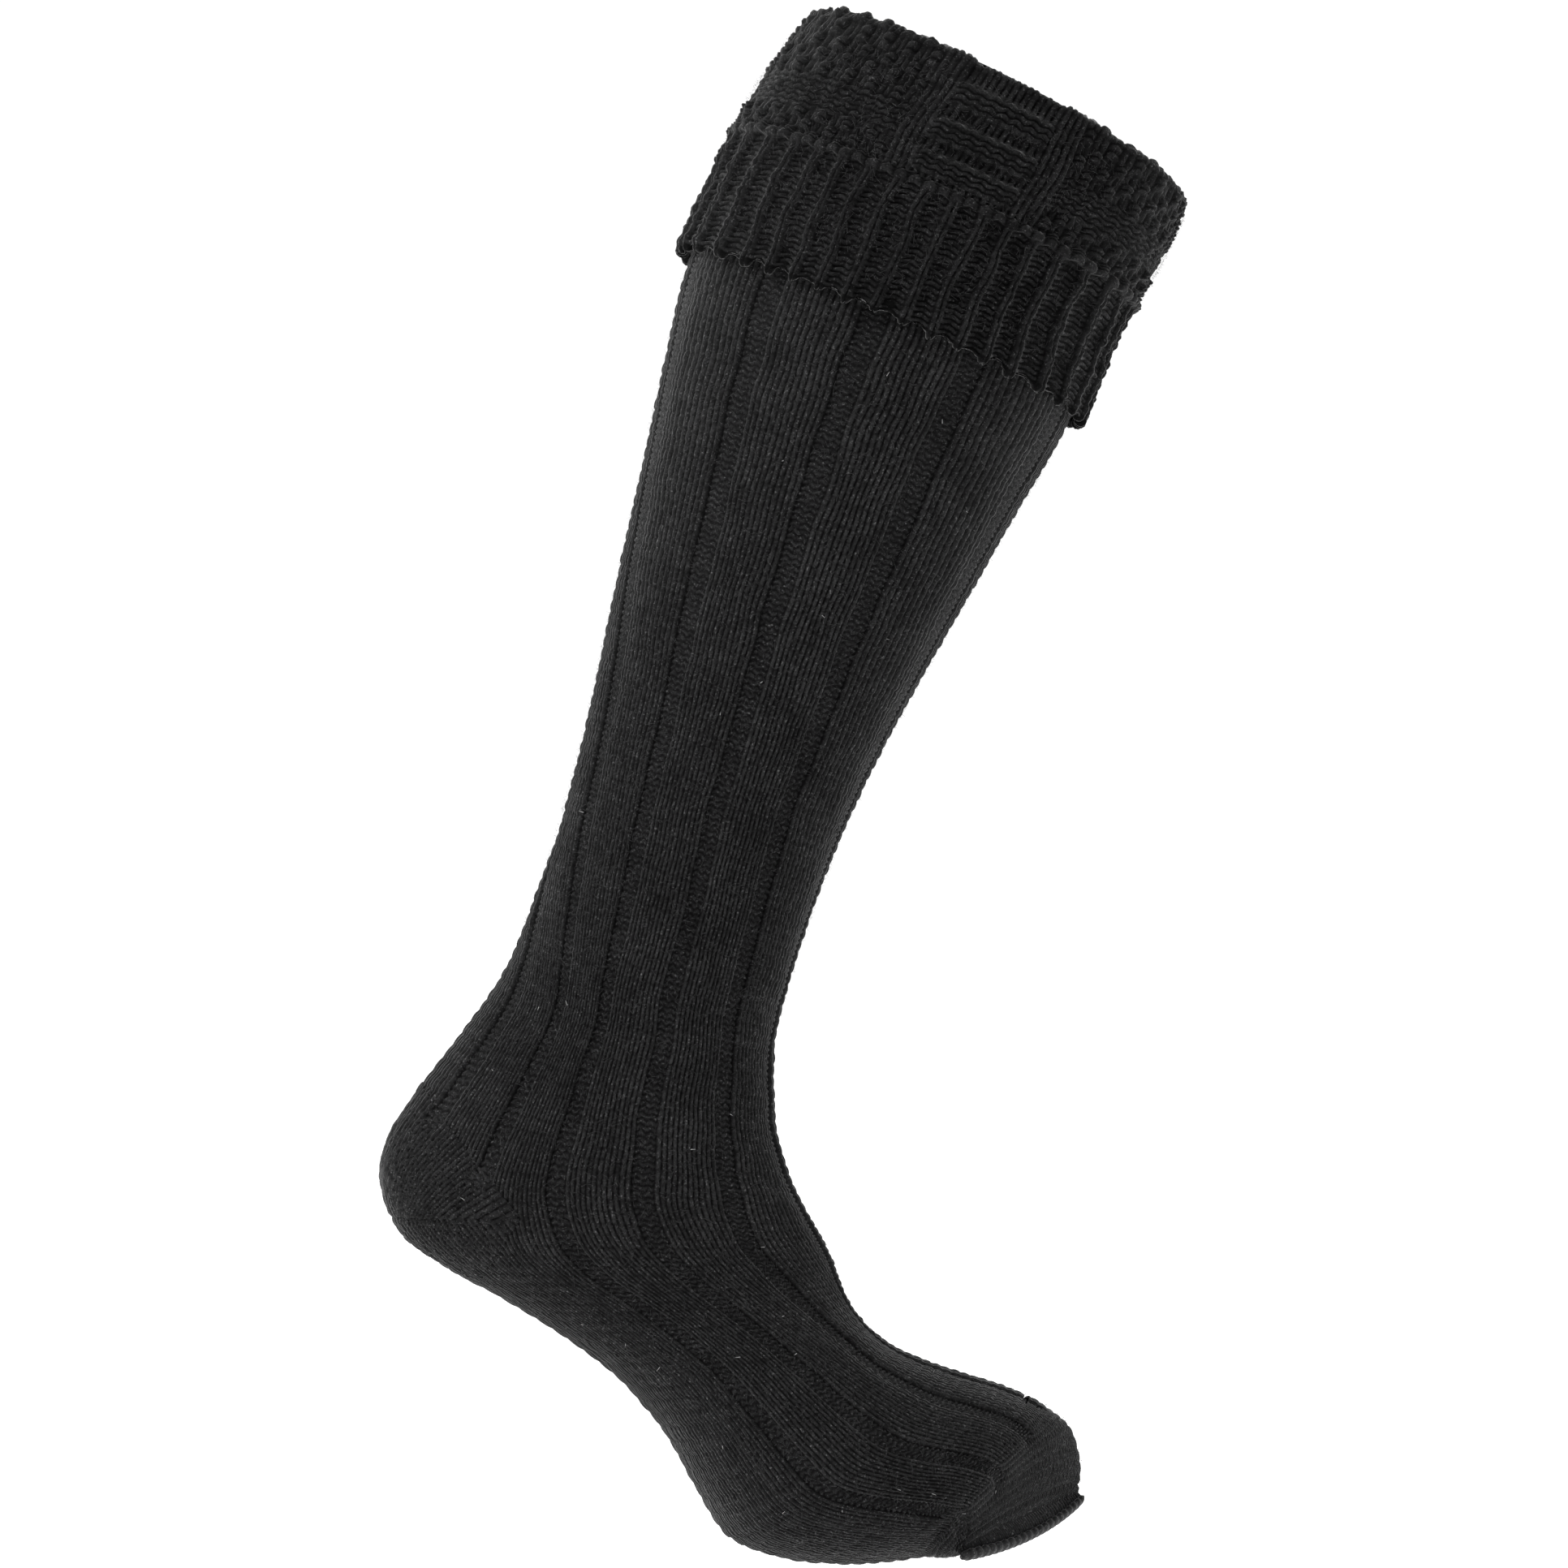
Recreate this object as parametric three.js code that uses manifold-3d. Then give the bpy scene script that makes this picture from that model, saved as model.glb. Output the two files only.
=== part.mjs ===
// A knitted kilt hose sock, worn: turned-down cuff, wide-ribbed leg, heel, foot and toe.
// Millimetres. +Z runs up the leg, +X runs to the toes, and -Y is the outer side of the leg.
// The origin is the middle of the ankle, inside the sock.
import * as THREE from 'three';
import { mergeVertices } from 'three/addons/utils/BufferGeometryUtils.js';
import Module from 'manifold-3d';

const wasm = await Module();
wasm.setup();

// Body of the sock
const LEG_HEIGHT = 352;
const CALF_DEPTH = 137;
const CALF_WIDTH = 122;
const ANKLE_DEPTH = 88;
const ANKLE_WIDTH = 70;
const FOOT_LENGTH = 258;
const FOOT_DROP = 124;
const FOOT_WIDTH = 92;
const KNIT_WALL = 2.4;
const CLEARANCE = 0.3;

// Wide ribs of the leg: stitches all round, and the sunk purl channels between the ribs
const WALES = 88;
const CHANNELS = 11;
const CHANNEL_WIDTH_WALES = 2;
const CHANNEL_SLOPE_WALES = 0.5;
const CHANNEL_DEPTH = 1.1;

// Turned-down cuff
const CUFF_DROP = 82;
const CUFF_WALL = 2.6;
const CUFF_FLARE = 1.6;
const CUFF_STANDOFF = 0.9;
const LIP_DEPTH = 7;
const RIB_BAND = 41;
const RIB_RELIEF = 0.9;
const RIDGE_RELIEF = 1.2;
const WELT_RELIEF = 1.6;
const RAIL_RELIEF = 0.7;

// Ladder of raised welts between two knit rails, on the outer and the inner side of the leg
const LADDER_MIDDLES = [26, 70];
const LADDER_WALES = 7;
const RAIL_WALES = 2;

// Patterned band of the cuff from the fold down, as shares of its height
const PATTERN_BANDS = [
  { height: 0.135, face: 'sunk' },
  { height: 0.18, face: 'welt' },
  { height: 0.1, face: 'sunk' },
  { height: 0.18, face: 'welt' },
  { height: 0.1, face: 'sunk' },
  { height: 0.18, face: 'welt' },
  { height: 0.06, face: 'sunk' },
  { height: 0.065, face: 'ridge' },
];

// Linked seam that closes the toe
const SEAM_THICKNESS = 2.8;
const EAR_REACH = 2;

// Skew of the toe seam: how far its inner end lies ahead of and above its outer end, for each
// millimetre of width
const SEAM_LEAD = 0.65;
const SEAM_LIFT = 0.38;

// Rounds of the leg, from the fold down. rise is a share of LEG_HEIGHT. swell goes from the ankle's
// size, 0, to the calf's, 1. lean moves the round forward and tip lifts its front, as shares of its
// depth. twist and pull turn the knit, as shares of the way round.
const LEG_ROUNDS = [
  { rise: 1.0, swell: 1.0, lean: 0.064, tip: -0.066, twist: -0.034, pull: 0 },
  { rise: 0.935, swell: 1.02, lean: 0.044, tip: -0.066, twist: -0.033, pull: 0 },
  { rise: 0.85, swell: 0.98, lean: 0.012, tip: -0.062, twist: -0.032, pull: 0 },
  { rise: 0.755, swell: 0.97, lean: 0, tip: -0.056, twist: -0.031, pull: 0 },
  { rise: 0.66, swell: 0.766, lean: -0.007, tip: -0.045, twist: -0.03, pull: 0 },
  { rise: 0.565, swell: 0.555, lean: -0.011, tip: -0.03, twist: -0.026, pull: 0 },
  { rise: 0.47, swell: 0.35, lean: -0.018, tip: -0.015, twist: -0.019, pull: 0 },
  { rise: 0.38, swell: 0.165, lean: -0.019, tip: 0, twist: -0.012, pull: 0 },
  { rise: 0.29, swell: 0.04, lean: -0.012, tip: 0.01, twist: -0.006, pull: 0 },
  { rise: 0.2, swell: 0, lean: 0, tip: 0.02, twist: 0, pull: 0 },
  { rise: 0.12, swell: 0.03, lean: 0.01, tip: 0.04, twist: 0.005, pull: 0.04 },
];

// Rounds of the ankle and foot, fanned round the heel and on to the toe. sole and top are the lowest
// and highest points of a round: forward as a share of FOOT_LENGTH, up as a share of FOOT_DROP.
// spread goes from the ankle's width, 0, to the foot's, 1. skew turns the round into the line of the
// toe seam, 1.
const FOOT_ROUNDS = [
  { sole: [-0.178, 0.194], top: [0.194, 0.226], spread: 0, skew: 0, twist: 0.01, pull: 0.038 },
  { sole: [-0.198, 0.048], top: [0.217, 0.105], spread: 0.02, skew: 0, twist: 0.015, pull: 0.035 },
  { sole: [-0.223, -0.113], top: [0.248, 0.008], spread: 0.05, skew: 0, twist: 0.02, pull: 0.03 },
  { sole: [-0.242, -0.266], top: [0.279, -0.065], spread: 0.05, skew: 0, twist: 0.022, pull: 0.027 },
  { sole: [-0.236, -0.395], top: [0.306, -0.113], spread: 0.03, skew: 0, twist: 0.02, pull: 0.02 },
  { sole: [-0.19, -0.512], top: [0.329, -0.153], spread: 0, skew: 0, twist: 0.018, pull: 0.01 },
  { sole: [-0.116, -0.56], top: [0.349, -0.194], spread: 0, skew: 0, twist: 0.012, pull: 0 },
  { sole: [-0.031, -0.589], top: [0.368, -0.242], spread: 0.05, skew: 0, twist: 0.012, pull: 0 },
  { sole: [0.054, -0.625], top: [0.391, -0.29], spread: 0.18, skew: 0, twist: 0.012, pull: 0 },
  { sole: [0.14, -0.681], top: [0.422, -0.331], spread: 0.36, skew: 0, twist: 0.012, pull: 0 },
  { sole: [0.217, -0.77], top: [0.461, -0.359], spread: 0.59, skew: 0, twist: 0.012, pull: 0 },
  { sole: [0.279, -0.879], top: [0.508, -0.367], spread: 0.82, skew: 0, twist: 0.012, pull: 0 },
  { sole: [0.341, -0.975], top: [0.554, -0.365], spread: 1, skew: 0, twist: 0.014, pull: 0 },
  { sole: [0.411, -0.98], top: [0.601, -0.361], spread: 1, skew: 0.05, twist: 0.014, pull: 0 },
  { sole: [0.488, -0.94], top: [0.643, -0.365], spread: 0.88, skew: 0.17, twist: 0.014, pull: 0 },
  { sole: [0.55, -0.885], top: [0.675, -0.383], spread: 0.7, skew: 0.35, twist: 0.014, pull: 0 },
  { sole: [0.607, -0.823], top: [0.696, -0.419], spread: 0.48, skew: 0.6, twist: 0.014, pull: 0 },
  { sole: [0.636, -0.798], top: [0.705, -0.484], spread: 0.3, skew: 0.8, twist: 0.014, pull: 0 },
  { sole: [0.661, -0.765], top: [0.707, -0.555], spread: 0.1, skew: 0.92, twist: 0.014, pull: 0 },
  { sole: [0.687, -0.704], top: [0.697, -0.659], spread: 0, skew: 1, twist: 0.014, pull: 0 },
];

// Half length of the toe seam, as a share of half the ankle's width
const SEAM_HALF_SHARE = 0.84;

// Parting lines in the side view, as shares of FOOT_LENGTH and FOOT_DROP: the heel's gore ends at
// GORE, the leg's last course rises from it to the back and to the front, and the sole's first
// course drops from it. The foot's tube parts in two between its arch and its ball.
const GORE = [-0.043, -0.339];
const HEEL_TOP_AT_BACK = [-0.205, -0.143];
const LEG_END_AT_FRONT = [0.225, 0.113];
const HEEL_END_AT_SOLE = [-0.072, -0.605];
const BALL_LINE = { sole: [0.178, -0.725], top: [0.441, -0.345] };
const TOE_LINE = { sole: [0.562, -0.887], top: [0.651, -0.323] };

// Stations, counted in rounds from the fold, where the channels at the back of the leg run out
const FIRST_FOOT_STATION = LEG_ROUNDS.length;
const CHANNEL_ENDS = {
  back: FIRST_FOOT_STATION + 1.8,
  beside: FIRST_FOOT_STATION + 3.4,
  toe: FIRST_FOOT_STATION + 15,
};
const BACK_CHANNEL_REACH_WALES = 4;
const HEEL_CHANNEL_REACH_WALES = 12;
const PULL_REACH_WALES = 26;
const CHANNEL_FADE = 0.5;

// Fineness of the faces
const SECTION_STEPS = 120;
const INNER_SIDES = 22;
const FOLD_STEPS = 4;
const BAND_EDGE_SHARE = 0.15;
const HEM_ROUND_SHARE = 0.4;
const BISECTIONS = 30;
const SAME_CORNER = 1e-4;
const SEAM_STEPS = 14;
const SEAM_SIDES = 4;

const lerp = THREE.MathUtils.lerp;

function legEnds(round) {
  const depth = lerp(ANKLE_DEPTH, CALF_DEPTH, round.swell);
  const middle = round.lean * depth;
  const height = round.rise * LEG_HEIGHT;
  const rise = round.tip * depth / 2;
  return {
    back: new THREE.Vector3(middle - depth / 2, 0, height - rise),
    front: new THREE.Vector3(middle + depth / 2, 0, height + rise),
    side: new THREE.Vector3(lerp(ANKLE_WIDTH, CALF_WIDTH, round.swell) / 2, 0, round.twist),
  };
}

function footEnds(round) {
  const half = lerp(ANKLE_WIDTH, FOOT_WIDTH, round.spread) / 2;
  return {
    back: new THREE.Vector3(round.sole[0] * FOOT_LENGTH, 0, round.sole[1] * FOOT_DROP),
    front: new THREE.Vector3(round.top[0] * FOOT_LENGTH, 0, round.top[1] * FOOT_DROP),
    side: new THREE.Vector3(half * lerp(1, SEAM_HALF_SHARE, round.skew), round.skew, round.twist),
  };
}

// Smooth curves through the rounds: their back or sole points, their front or top points, and their
// half width, skew and twist
const rounds = [...LEG_ROUNDS.map(legEnds), ...FOOT_ROUNDS.map(footEnds)];
const pulls = [...LEG_ROUNDS, ...FOOT_ROUNDS].map((round) => new THREE.Vector3(round.pull, 0, 0));
const LAST_STATION = rounds.length - 1;

function curveThrough(points) {
  return new THREE.CatmullRomCurve3(points, false, 'catmullrom', 0.5);
}

const backCurve = curveThrough(rounds.map((round) => round.back));
const frontCurve = curveThrough(rounds.map((round) => round.front));
const sideCurve = curveThrough(rounds.map((round) => round.side));
const pullCurve = curveThrough(pulls);

// One round of the sock as a closed outline, measured along its length so that every stitch takes
// the same share of it. It starts at the back or sole and goes by the outer side to the front.
const sectionCache = new Map();

function section(station) {
  if (!sectionCache.has(station)) {
    const share = station / LAST_STATION;
    const back = backCurve.getPoint(share);
    const front = frontCurve.getPoint(share);
    const side = sideCurve.getPoint(share);
    const middle = back.clone().add(front).multiplyScalar(0.5);
    const along = front.clone().sub(back).multiplyScalar(0.5);
    const across = new THREE.Vector3(-side.y * SEAM_LEAD, -1, -side.y * SEAM_LIFT);
    across.multiplyScalar(side.x);
    const points = [];
    const lengths = [0];
    for (let step = 0; step <= SECTION_STEPS; step += 1) {
      const angle = (2 * Math.PI * step) / SECTION_STEPS;
      const point = middle.clone().addScaledVector(along, -Math.cos(angle));
      points.push(point.addScaledVector(across, Math.sin(angle)));
      if (step > 0) {
        lengths.push(lengths[step - 1] + point.distanceTo(points[step - 1]));
      }
    }
    const facing = along.clone().cross(across).normalize();
    const pull = pullCurve.getPoint(share).x;
    sectionCache.set(station, { points, lengths, facing, middle, side, pull });
  }
  return sectionCache.get(station);
}

// Stitches are counted from the channel at the back, towards the outer side
function wrapWale(wale) {
  return wale > WALES / 2 ? wale - WALES : wale;
}

function shareRound(round, wale) {
  const fromBack = Math.min(1, Math.abs(wrapWale(wale)) / PULL_REACH_WALES);
  const drawn = round.pull * Math.cos((fromBack * Math.PI) / 2) ** 2;
  return wale / WALES + round.side.z + drawn;
}

// A point of the sock's outer skin, moved outwards in its own round by out
function skinPoint(station, wale, out) {
  const round = section(station);
  const total = round.lengths[SECTION_STEPS];
  const distance = THREE.MathUtils.euclideanModulo(shareRound(round, wale), 1) * total;
  let step = Math.min(SECTION_STEPS - 1, Math.floor((distance / total) * SECTION_STEPS));
  while (step > 0 && round.lengths[step] > distance) {
    step -= 1;
  }
  while (step < SECTION_STEPS - 1 && round.lengths[step + 1] < distance) {
    step += 1;
  }
  const start = round.points[step];
  const end = round.points[step + 1];
  const part = (distance - round.lengths[step]) / (round.lengths[step + 1] - round.lengths[step]);
  const outward = round.facing.clone().cross(end.clone().sub(start)).normalize();
  return start.clone().lerp(end, part).addScaledVector(outward, out);
}

function stationAtHeight(height) {
  let low = 0;
  let high = FIRST_FOOT_STATION - 1;
  for (let step = 0; step < BISECTIONS; step += 1) {
    const station = (low + high) / 2;
    if (section(station).middle.z > height) {
      low = station;
    } else {
      high = station;
    }
  }
  return low;
}

// Merges the shared corners of a closed geometry and makes it a solid
function solidFrom(geometry) {
  geometry.deleteAttribute('normal');
  geometry.deleteAttribute('uv');
  const merged = mergeVertices(geometry, SAME_CORNER);
  return new wasm.Manifold(
    new wasm.Mesh({
      numProp: 3,
      vertProperties: new Float32Array(merged.attributes.position.array),
      triVerts: new Uint32Array(merged.index.array),
    }),
  );
}

// Bends a closed unit cylinder into a skin of the sock. columns are wales and rows are stations.
function skinSolid(columns, rows, outAt) {
  const sides = columns.length;
  const steps = rows.length - 1;
  const geometry = new THREE.CylinderGeometry(1, 1, 1, sides, steps);
  const position = geometry.attributes.position;
  const corner = new THREE.Vector3();
  for (let index = 0; index < position.count; index += 1) {
    corner.fromBufferAttribute(position, index);
    const row = rows[Math.round((0.5 - corner.y) * steps)];
    if (Math.hypot(corner.x, corner.z) < 0.5) {
      corner.copy(section(row).middle);
    } else {
      const turn = Math.atan2(corner.x, corner.z) / (2 * Math.PI);
      const wale = columns[(Math.round(turn * sides) + sides) % sides];
      corner.copy(skinPoint(row, wale, outAt(row, wale)));
    }
    position.setXYZ(index, corner.x, corner.y, corner.z);
  }
  return solidFrom(geometry);
}

// Depth of the purl channels, which run out at the heel and at the toe
function channelFade(station, wale) {
  const fromBack = Math.abs(wrapWale(wale));
  let end = CHANNEL_ENDS.toe;
  if (fromBack < BACK_CHANNEL_REACH_WALES) {
    end = CHANNEL_ENDS.back;
  } else if (fromBack < HEEL_CHANNEL_REACH_WALES) {
    end = CHANNEL_ENDS.beside;
  }
  return THREE.MathUtils.clamp((end - station) / CHANNEL_FADE, 0, 1);
}

function ribColumns() {
  const repeat = WALES / CHANNELS;
  const floor = (CHANNEL_WIDTH_WALES - CHANNEL_SLOPE_WALES) / 2;
  const edge = (CHANNEL_WIDTH_WALES + CHANNEL_SLOPE_WALES) / 2;
  const half = (repeat - 2 * edge) / 2;
  const columns = [];
  for (let channel = 0; channel < CHANNELS; channel += 1) {
    const places = [-floor, floor, edge, edge + half, edge + 2 * half];
    places.forEach((place) => columns.push(channel * repeat + place));
  }
  return columns;
}

function inChannel(wale) {
  const repeat = WALES / CHANNELS;
  const place = Math.abs(wale - repeat * Math.round(wale / repeat));
  return place < CHANNEL_WIDTH_WALES / 2;
}

function evenColumns(count) {
  return Array.from({ length: count }, (unused, index) => (index * WALES) / count);
}

// Plane through two points of the side view, as the way it faces and its distance from the origin
function sidePoint(shares) {
  return new THREE.Vector3(shares[0] * FOOT_LENGTH, 0, shares[1] * FOOT_DROP);
}

function partingPlane(from, to) {
  const start = sidePoint(from);
  const course = sidePoint(to).sub(start).normalize();
  const normal = new THREE.Vector3(-course.z, 0, course.x);
  return { normal, distance: normal.dot(start) };
}

// Keeps the side of a parting plane that it faces, or the other side, short of it by half the gap
function keepSide(solid, plane, facing) {
  const normal = plane.normal.clone().multiplyScalar(facing);
  return solid.trimByPlane(normal.toArray(), plane.distance * facing + CLEARANCE / 2);
}

function meshFrom(name, solid, material) {
  const data = solid.getMesh();
  const geometry = new THREE.BufferGeometry();
  geometry.setAttribute('position', new THREE.BufferAttribute(new Float32Array(data.vertProperties), 3));
  geometry.setIndex(new THREE.BufferAttribute(new Uint32Array(data.triVerts), 1));
  geometry.computeVertexNormals();
  const mesh = new THREE.Mesh(geometry, material);
  mesh.name = name;
  return mesh;
}

function wool(colour, roughness) {
  return new THREE.MeshStandardMaterial({ color: colour, roughness, metalness: 0 });
}

// Body: one hollow skin from under the fold to the toe seam
const legTop = LEG_HEIGHT - LIP_DEPTH - CLEARANCE;
const bodyTopStation = stationAtHeight(legTop);
const allStations = rounds.map((round, station) => station);
const bodyStations = allStations.filter((station) => station > bodyTopStation);
const lastHollowStation = LAST_STATION - 1;

function bodySkin() {
  return skinSolid(ribColumns(), [bodyTopStation, ...bodyStations], (station, wale) =>
    inChannel(wale) ? -CHANNEL_DEPTH * channelFade(station, wale) : 0,
  );
}

function bodyHollow() {
  const stations = bodyStations.filter((station) => station <= lastHollowStation);
  return skinSolid(evenColumns(INNER_SIDES), [0, ...stations], () => -KNIT_WALL);
}

const body = bodySkin().subtract(bodyHollow());
const heelTop = partingPlane(GORE, HEEL_TOP_AT_BACK);
const legFront = partingPlane(GORE, LEG_END_AT_FRONT);
const heelEnd = partingPlane(GORE, HEEL_END_AT_SOLE);
const ballLine = partingPlane(BALL_LINE.sole, BALL_LINE.top);
const toeLine = partingPlane(TOE_LINE.sole, TOE_LINE.top);

function legSolid() {
  return keepSide(keepSide(body, heelTop, -1), legFront, 1);
}

function heelSolid() {
  return keepSide(keepSide(body, heelTop, 1), heelEnd, -1);
}

function archSolid() {
  return keepSide(keepSide(keepSide(body, legFront, -1), heelEnd, 1), ballLine, 1);
}

function forefootSolid() {
  return keepSide(keepSide(body, ballLine, -1), toeLine, 1);
}

function toeSolid() {
  return keepSide(body, toeLine, -1);
}

// Cuff: height below the fold and distance out from the leg's skin, round a closed hook
function cuffProfile() {
  const inner = CUFF_STANDOFF;
  const outer = CUFF_STANDOFF + CUFF_WALL;
  const fold = (outer + KNIT_WALL) / 2;
  const ribTop = CUFF_DROP - RIB_BAND;
  const hemRound = CUFF_WALL * HEM_ROUND_SHARE;
  const flare = (drop) => CUFF_FLARE * (drop / CUFF_DROP) ** 2;
  const places = [];
  const add = (drop, out, face) => places.push({ drop, out: out + flare(drop), face });
  add(LIP_DEPTH, -KNIT_WALL, 'hidden');
  for (let step = 0; step <= FOLD_STEPS; step += 1) {
    const angle = (Math.PI * step) / FOLD_STEPS;
    add(fold * (1 - Math.sin(angle)), outer - fold - fold * Math.cos(angle), 'fold');
  }
  let top = fold;
  PATTERN_BANDS.forEach((band) => {
    const height = band.height * (ribTop - fold);
    const edges = band.face === 'welt' ? [BAND_EDGE_SHARE, 1 - BAND_EDGE_SHARE] : [1 / 2];
    edges.forEach((edge) => add(top + edge * height, outer, band.face));
    top += height;
  });
  add(ribTop + hemRound, outer, 'rib');
  add(CUFF_DROP - RIB_BAND / 2, outer, 'rib');
  add(CUFF_DROP - hemRound, outer, 'rib');
  add(CUFF_DROP, (inner + outer) / 2, 'rib');
  add(CUFF_DROP - hemRound, inner, 'hidden');
  add(ribTop, inner, 'hidden');
  add(LIP_DEPTH, inner, 'hidden');
  return places;
}

function cuffRelief(face, wale) {
  const fromLadder = Math.min(...LADDER_MIDDLES.map((middle) => Math.abs(wale - middle)));
  if (face === 'rib') {
    return wale % 2 === 0 ? RIB_RELIEF / 2 : -RIB_RELIEF / 2;
  }
  if (face === 'ridge') {
    return RIDGE_RELIEF;
  }
  if (face === 'welt' && fromLadder <= LADDER_WALES / 2) {
    return WELT_RELIEF;
  }
  if (face !== 'hidden' && face !== 'fold' && Math.abs(fromLadder - LADDER_WALES / 2 - RAIL_WALES / 2) < 1) {
    return RAIL_RELIEF;
  }
  return 0;
}

function cuffSolid() {
  const profile = cuffProfile();
  const closed = [...profile, profile[0]].reverse();
  const outline = closed.map((place) => new THREE.Vector2(CALF_DEPTH + place.out, -place.drop));
  const geometry = new THREE.LatheGeometry(outline, WALES);
  const position = geometry.attributes.position;
  for (let index = 0; index < position.count; index += 1) {
    const place = closed[index % closed.length];
    const wale = Math.floor(index / closed.length) % WALES;
    const out = place.out + cuffRelief(place.face, wale);
    const point = skinPoint(stationAtHeight(LEG_HEIGHT - place.drop), wale, out);
    position.setXYZ(index, point.x, point.y, point.z);
  }
  return solidFrom(geometry);
}

// Toe seam: a rounded ridge along the last round, which runs out in an ear at each end
function seamSolid() {
  const last = section(LAST_STATION);
  const across = last.points[SECTION_STEPS / 4].clone().sub(last.middle);
  const path = [-1, -0.5, 0, 0.5, 1].map((place) =>
    last.middle
      .clone()
      .addScaledVector(across, place)
      .addScaledVector(last.facing, SEAM_THICKNESS / 2 + CLEARANCE + EAR_REACH * place ** 4),
  );
  const ring = new THREE.Shape();
  ring.absellipse(0, 0, SEAM_THICKNESS / 2, SEAM_THICKNESS / 2, 0, 2 * Math.PI, false, 0);
  return solidFrom(
    new THREE.ExtrudeGeometry(ring, {
      steps: SEAM_STEPS,
      curveSegments: SEAM_SIDES,
      extrudePath: new THREE.CatmullRomCurve3(path),
    }),
  );
}

const sock = new THREE.Group();
sock.add(meshFrom('turnover_cuff', cuffSolid(), wool(0x2b2c2f, 0.95)));
sock.add(meshFrom('leg', legSolid(), wool(0x26272a, 0.95)));
sock.add(meshFrom('heel', heelSolid(), wool(0x28292c, 0.95)));
sock.add(meshFrom('foot', archSolid(), wool(0x26272a, 0.95)));
sock.add(meshFrom('forefoot', forefootSolid(), wool(0x26272a, 0.95)));
sock.add(meshFrom('toe', toeSolid(), wool(0x28292c, 0.95)));
sock.add(meshFrom('toe_seam', seamSolid(), wool(0x2e2f32, 0.95)));

export default sock;
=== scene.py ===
"""Looks of a worn, knitted kilt hose sock, with every stitch of its cuff, leg, heel, foot and toe.

Metres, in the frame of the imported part: +Z runs up the leg, +X to the toes, -Y is the outer side.
The knitting is counted in wales, round the sock from the back by the outer side, and in courses,
down the sock. Sizes are in millimetres until a mesh is made."""

import bmesh
import bpy
import numpy as np
from mathutils import Matrix, Vector


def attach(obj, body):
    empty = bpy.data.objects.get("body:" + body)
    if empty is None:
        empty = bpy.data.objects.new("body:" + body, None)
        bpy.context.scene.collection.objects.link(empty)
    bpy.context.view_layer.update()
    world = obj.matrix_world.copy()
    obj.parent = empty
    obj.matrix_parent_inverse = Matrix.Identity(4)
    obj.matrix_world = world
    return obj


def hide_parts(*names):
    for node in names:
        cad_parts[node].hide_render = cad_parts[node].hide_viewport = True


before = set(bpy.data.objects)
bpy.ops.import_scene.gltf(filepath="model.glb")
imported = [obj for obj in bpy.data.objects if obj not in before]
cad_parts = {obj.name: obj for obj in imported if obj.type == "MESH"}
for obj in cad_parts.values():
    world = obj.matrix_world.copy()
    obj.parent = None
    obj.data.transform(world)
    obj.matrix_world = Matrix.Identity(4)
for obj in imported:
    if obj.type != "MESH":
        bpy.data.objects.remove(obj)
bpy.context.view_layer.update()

MM = 0.001

# Body of the sock
LEG_HEIGHT = 352.0
CALF_DEPTH = 137.0
CALF_WIDTH = 122.0
ANKLE_DEPTH = 88.0
ANKLE_WIDTH = 70.0
FOOT_LENGTH = 258.0
FOOT_DROP = 124.0
FOOT_WIDTH = 92.0
KNIT_WALL = 2.4
CLEARANCE = 0.3
WALES = 88
RIB_REPEAT = 8
COURSE = 3.9

# Turned-down cuff
CUFF_DROP = 82.0
CUFF_WALL = 2.6
CUFF_FLARE = 1.6
CUFF_STANDOFF = 0.9
RIB_BAND = 41.0
LADDER_MIDDLES = (26, 70)

# Rounds of the leg from the fold down: rise, swell, lean, tip, twist, pull
LEG_ROUNDS = (
    (1.0104, 0.89, 0.087, -0.122, -0.034, 0.0),
    (0.935, 1.02, 0.044, -0.066, -0.033, 0.0),
    (0.85, 0.98, 0.012, -0.062, -0.032, 0.0),
    (0.755, 0.97, 0.0, -0.056, -0.031, 0.0),
    (0.66, 0.766, -0.007, -0.045, -0.03, 0.0),
    (0.565, 0.555, -0.011, -0.03, -0.026, 0.0),
    (0.47, 0.35, -0.018, -0.015, -0.019, 0.0),
    (0.38, 0.165, -0.019, 0.0, -0.012, 0.0),
    (0.29, 0.04, -0.012, 0.01, -0.006, 0.0),
    (0.2, 0.0, 0.0, 0.02, 0.006, 0.01),
    (0.12, 0.03, 0.01, 0.04, 0.012, 0.048),
)

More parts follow.
